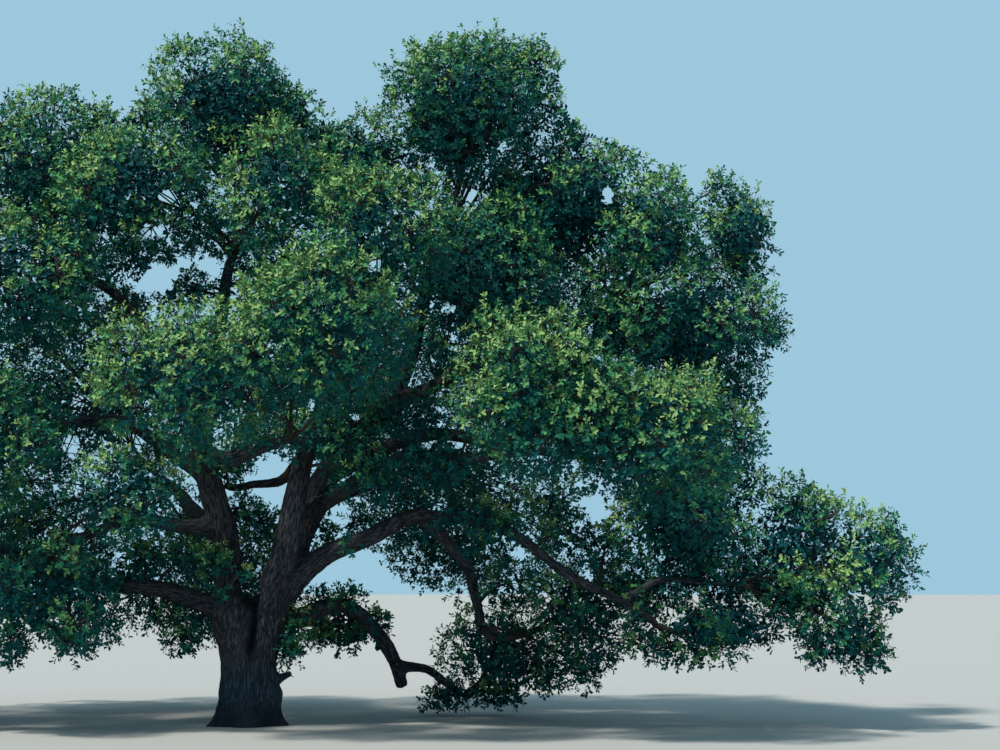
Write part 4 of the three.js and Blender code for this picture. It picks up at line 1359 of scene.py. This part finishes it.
# Materials. Each tone of leaf: its slot and its colour. The tones are painted sunlight and shade on
# the same leaves, with a little of sunlit leaves' own yellower green: lighter and yellower where
# the sun reaches, darker and bluer, as painted sky light, where it doesn't, and darkest in the
# inner tone.
LEAF_COLOURS = {
    "sunlit": ("leaf_light", (0.235, 0.362, 0.122)),
    "bright": ("leaf_light", (0.088, 0.240, 0.084)),
    "green": ("leaf_mid", (0.027, 0.157, 0.072)),
    "dull": ("leaf_mid", (0.010, 0.116, 0.080)),
    "deep": ("leaf_deep", (0.004, 0.094, 0.085)),
    "shade": ("leaf_shade", (0.002, 0.075, 0.078)),
    "inner": ("leaf_shade", (0.001, 0.058, 0.067)),
}

# A finish is a roughness and a gloss
LEAF_FINISH = (0.6, 0.12)

# The mottle's scale, detail and roughness, and the levels of noise that it goes between
MOTTLE_INPUTS = ("Scale", "Detail", "Roughness", "Low", "High")
BARK_GRAIN = (34, 8, 0.6, 0.4, 0.66)
BROWN_PATCHES = (2.2, 3, 0.5, 0.48, 0.75)
TWIG_MOTTLE = (1.7, 2, 0.5, 0.35, 0.7)

# Bark: dark and light grain, brown patches, and what lies over them with its strength
GRAIN_STRETCH = (1, 1, 0.16)
GRAIN_DARK = (0.007, 0.009, 0.014)
GRAIN_LIGHT = (0.118, 0.125, 0.145)
PATCH_STRENGTH = 0.55
PATCH_BROWN = (0.046, 0.036, 0.027)
BARK_LAYERS = [
    ("moss", 0.3, (0.040, 0.055, 0.026)),
    ("rust", 1, (0.150, 0.055, 0.022)),
    # painted bluish shade, lit by the sky, low on the trunk
    ("painted_sky_shade", 0.6, (0.020, 0.046, 0.074)),
    # painted dark shade in the furrows, the fold, at the foot and on the upper limbs
    ("furrow_shade", 0.8, (0.004, 0.006, 0.009)),
]
BARK_COLOUR = (0.07, 0.065, 0.06)
BARK_FINISH = (0.92, 0.15)
BUMP_STRENGTH = 0.7
BUMP_DISTANCE = 0.02
TWIG_DARK = (0.020, 0.018, 0.017)
TWIG_LIGHT = (0.060, 0.054, 0.050)
TWIG_COLOUR = (0.035, 0.03, 0.028)
TWIG_FINISH = (0.9, 0.1)


def plain_material(name, colour, roughness, gloss):
    material = bpy.data.materials.new(name)
    material.use_nodes = True
    shader = material.node_tree.nodes["Principled BSDF"]
    shader.inputs["Base Color"].default_value = (*colour, 1)
    shader.inputs["Roughness"].default_value = roughness
    shader.inputs["Specular IOR Level"].default_value = gloss
    return material


def new_node(tree, kind, inputs, **settings):
    """A node whose inputs, by name or number, are linked to sockets or set to values"""
    node = tree.nodes.new(kind)
    for name, value in settings.items():
        setattr(node, name, value)
    for name, value in inputs.items():
        if isinstance(value, bpy.types.NodeSocket):
            tree.links.new(value, node.inputs[name])
        else:
            node.inputs[name].default_value = value
    return node


def mottle_group():
    """Noise, and how far it has gone from a low level to a high one"""
    group = bpy.data.node_groups.new("mottle", "ShaderNodeTree")
    group.interface.new_socket("Vector", in_out="INPUT", socket_type="NodeSocketVector")
    for name in MOTTLE_INPUTS:
        group.interface.new_socket(name, in_out="INPUT", socket_type="NodeSocketFloat")
    for name in ("Noise", "Share"):
        group.interface.new_socket(name, in_out="OUTPUT", socket_type="NodeSocketFloat")
    given = group.nodes.new("NodeGroupInput").outputs
    pattern_inputs = {name: given[name] for name in ("Vector", *MOTTLE_INPUTS[:3])}
    pattern = new_node(group, "ShaderNodeTexNoise", pattern_inputs).outputs["Fac"]
    levels = {"Value": pattern, "From Min": given["Low"], "From Max": given["High"]}
    share = new_node(group, "ShaderNodeMapRange", levels).outputs["Result"]
    new_node(group, "NodeGroupOutput", {"Noise": pattern, "Share": share})
    return group


def mottled(tree, group, place, values):
    """The group's outputs in a material, with the material's own values"""
    node = new_node(tree, "ShaderNodeGroup", {}, node_tree=group)
    tree.links.new(place, node.inputs["Vector"])
    for name, value in zip(MOTTLE_INPUTS, values):
        node.inputs[name].default_value = value
    return node.outputs


def laid_over(tree, share, below, above):
    """The colour `above` laid over another colour, or over a socket's, by a share"""
    below = below if isinstance(below, bpy.types.NodeSocket) else (*below, 1)
    inputs = {"Factor": share, 6: below, 7: (*above, 1)}
    return new_node(tree, "ShaderNodeMix", inputs, data_type="RGBA").outputs[2]


def weaker(tree, share, strength):
    """A share times a strength"""
    inputs = {0: share, 1: strength}
    return new_node(tree, "ShaderNodeMath", inputs, operation="MULTIPLY").outputs["Value"]


def bark_material(mottle):
    """Fine grain and brown patches, under moss, scars, and painted shade: bluish low on the trunk,
    dark in the furrows, the fold, at the foot and up the limbs
    """
    material = plain_material("bark", BARK_COLOUR, *BARK_FINISH)
    tree = material.node_tree

    def attribute(name, output):
        return new_node(tree, "ShaderNodeAttribute", {}, attribute_name=name).outputs[output]

    place = attribute("bark_place", "Vector")
    stretch = {"Vector": place, "Scale": GRAIN_STRETCH}
    along = new_node(tree, "ShaderNodeMapping", stretch).outputs["Vector"]
    grain = mottled(tree, mottle, along, BARK_GRAIN)
    patches = mottled(tree, mottle, place, BROWN_PATCHES)
    colour = laid_over(tree, grain["Share"], GRAIN_DARK, GRAIN_LIGHT)
    colour = laid_over(tree, weaker(tree, patches["Share"], PATCH_STRENGTH), colour, PATCH_BROWN)
    for name, strength, above in BARK_LAYERS:
        share = weaker(tree, attribute(name, "Fac"), strength)
        colour = laid_over(tree, share, colour, above)
    relief = {"Strength": BUMP_STRENGTH, "Distance": BUMP_DISTANCE, "Height": grain["Noise"]}
    bump = new_node(tree, "ShaderNodeBump", relief).outputs["Normal"]
    shader = tree.nodes["Principled BSDF"]
    tree.links.new(colour, shader.inputs["Base Color"])
    tree.links.new(bump, shader.inputs["Normal"])
    return material


def twig_material(mottle):
    """Twigs are dark, greyer in places"""
    material = plain_material("twig_bark", TWIG_COLOUR, *TWIG_FINISH)
    tree = material.node_tree
    place = tree.nodes.new("ShaderNodeTexCoord").outputs["Object"]
    share = mottled(tree, mottle, place, TWIG_MOTTLE)["Share"]
    colour = laid_over(tree, share, TWIG_DARK, TWIG_LIGHT)
    tree.links.new(colour, tree.nodes["Principled BSDF"].inputs["Base Color"])
    return material


# Stage
FLOOR_RADIUS = 600
FLOOR_SIDES = 96
FLOOR_COLOUR = (0.34, 0.335, 0.32)
FLOOR_FINISH = (0.95, 0.3)
SKY_COLOUR = (0.47, 0.80, 1.0)
SKY_STRENGTH = 0.72
SUN_COLOUR = (1.0, 0.96, 0.88)
SUN_STRENGTH = 4.6
SUN_SOFTNESS = math.radians(5)
SEEN_TO = 2000


def add_floor():
    work = bmesh.new()
    bmesh.ops.create_circle(work, cap_ends=True, segments=FLOOR_SIDES, radius=FLOOR_RADIUS)
    mesh = bpy.data.meshes.new("floor")
    work.to_mesh(mesh)
    work.free()
    mesh.materials.append(plain_material("pale_floor", FLOOR_COLOUR, *FLOOR_FINISH))
    floor = placed("floor", mesh)


def add_light():
    scene = bpy.context.scene
    scene.world = bpy.data.worlds.new("studio")
    scene.world.use_nodes = True
    backdrop = scene.world.node_tree.nodes["Background"]
    backdrop.inputs["Color"].default_value = (*SKY_COLOUR, 1)
    backdrop.inputs["Strength"].default_value = SKY_STRENGTH
    scene.view_settings.view_transform = "Standard"

    lamp = bpy.data.lights.new("key", "SUN")
    lamp.energy = SUN_STRENGTH
    lamp.angle = SUN_SOFTNESS
    lamp.color = SUN_COLOUR
    placed("key", lamp).rotation_euler = Vector(SUN_WAY).to_track_quat("Z", "Y").to_euler()


def add_camera():
    lens = bpy.data.cameras.new("camera")
    lens.sensor_width = SENSOR_WIDTH
    lens.lens = FOCAL_PIXELS / PICTURE[0] * SENSOR_WIDTH
    lens.clip_end = SEEN_TO
    camera = placed("camera", lens)
    camera.location = EYE
    camera.rotation_euler = (math.pi / 2 + PITCH, 0, 0)
    bpy.context.scene.camera = camera


def finish_piece(piece, material, nodes):
    """Gives a piece its material and its place in the part"""
    piece.data.materials.clear()
    piece.data.materials.append(material)
    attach(piece, "root")
    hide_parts(*nodes)


add_floor()
add_light()
add_camera()
mottle = mottle_group()
curves = limb_curves()
bark_mesh = barked(fused_wood(curves), curves)
bark_mesh.shade_smooth()
finish_piece(placed("bark", bark_mesh), bark_material(mottle), ["trunk", *LIMBS])

foliage = Foliage(bark_beads({name: curves[name] for name in LIMBS}))
for mass in all_masses(curves):
    grow_mass(mass, foliage)
for index, name in enumerate(SHOOTS_FROM):
    grow_shoots(name, curves[name], foliage, SHOOT_SEED + index)
tufts = [(name, tuft) for name, some in TUFTS.items() for tuft in some]
for index, (name, (x, y, z, radius, sunny)) in enumerate(tufts):
    grow_tuft(foliage, curves[name], np.array([x, y, z]), radius, sunny, TUFT_SEED + index)
grow_sprouts(foliage)
grow_twigs_and_leaves(foliage)

twigs = mesh_object("twigs", *joined(foliage.wood))
twigs.data.shade_smooth()
finish_piece(twigs, twig_material(mottle), MASSES)
for tone, (slot, colour) in LEAF_COLOURS.items():
    leaves = mesh_object(f"leaves_{tone}", *joined(foliage.leaves[tone]))
    leaves.data.shade_flat()
    finish_piece(leaves, plain_material(f"leaf_{tone}", colour, *LEAF_FINISH), MASSES)
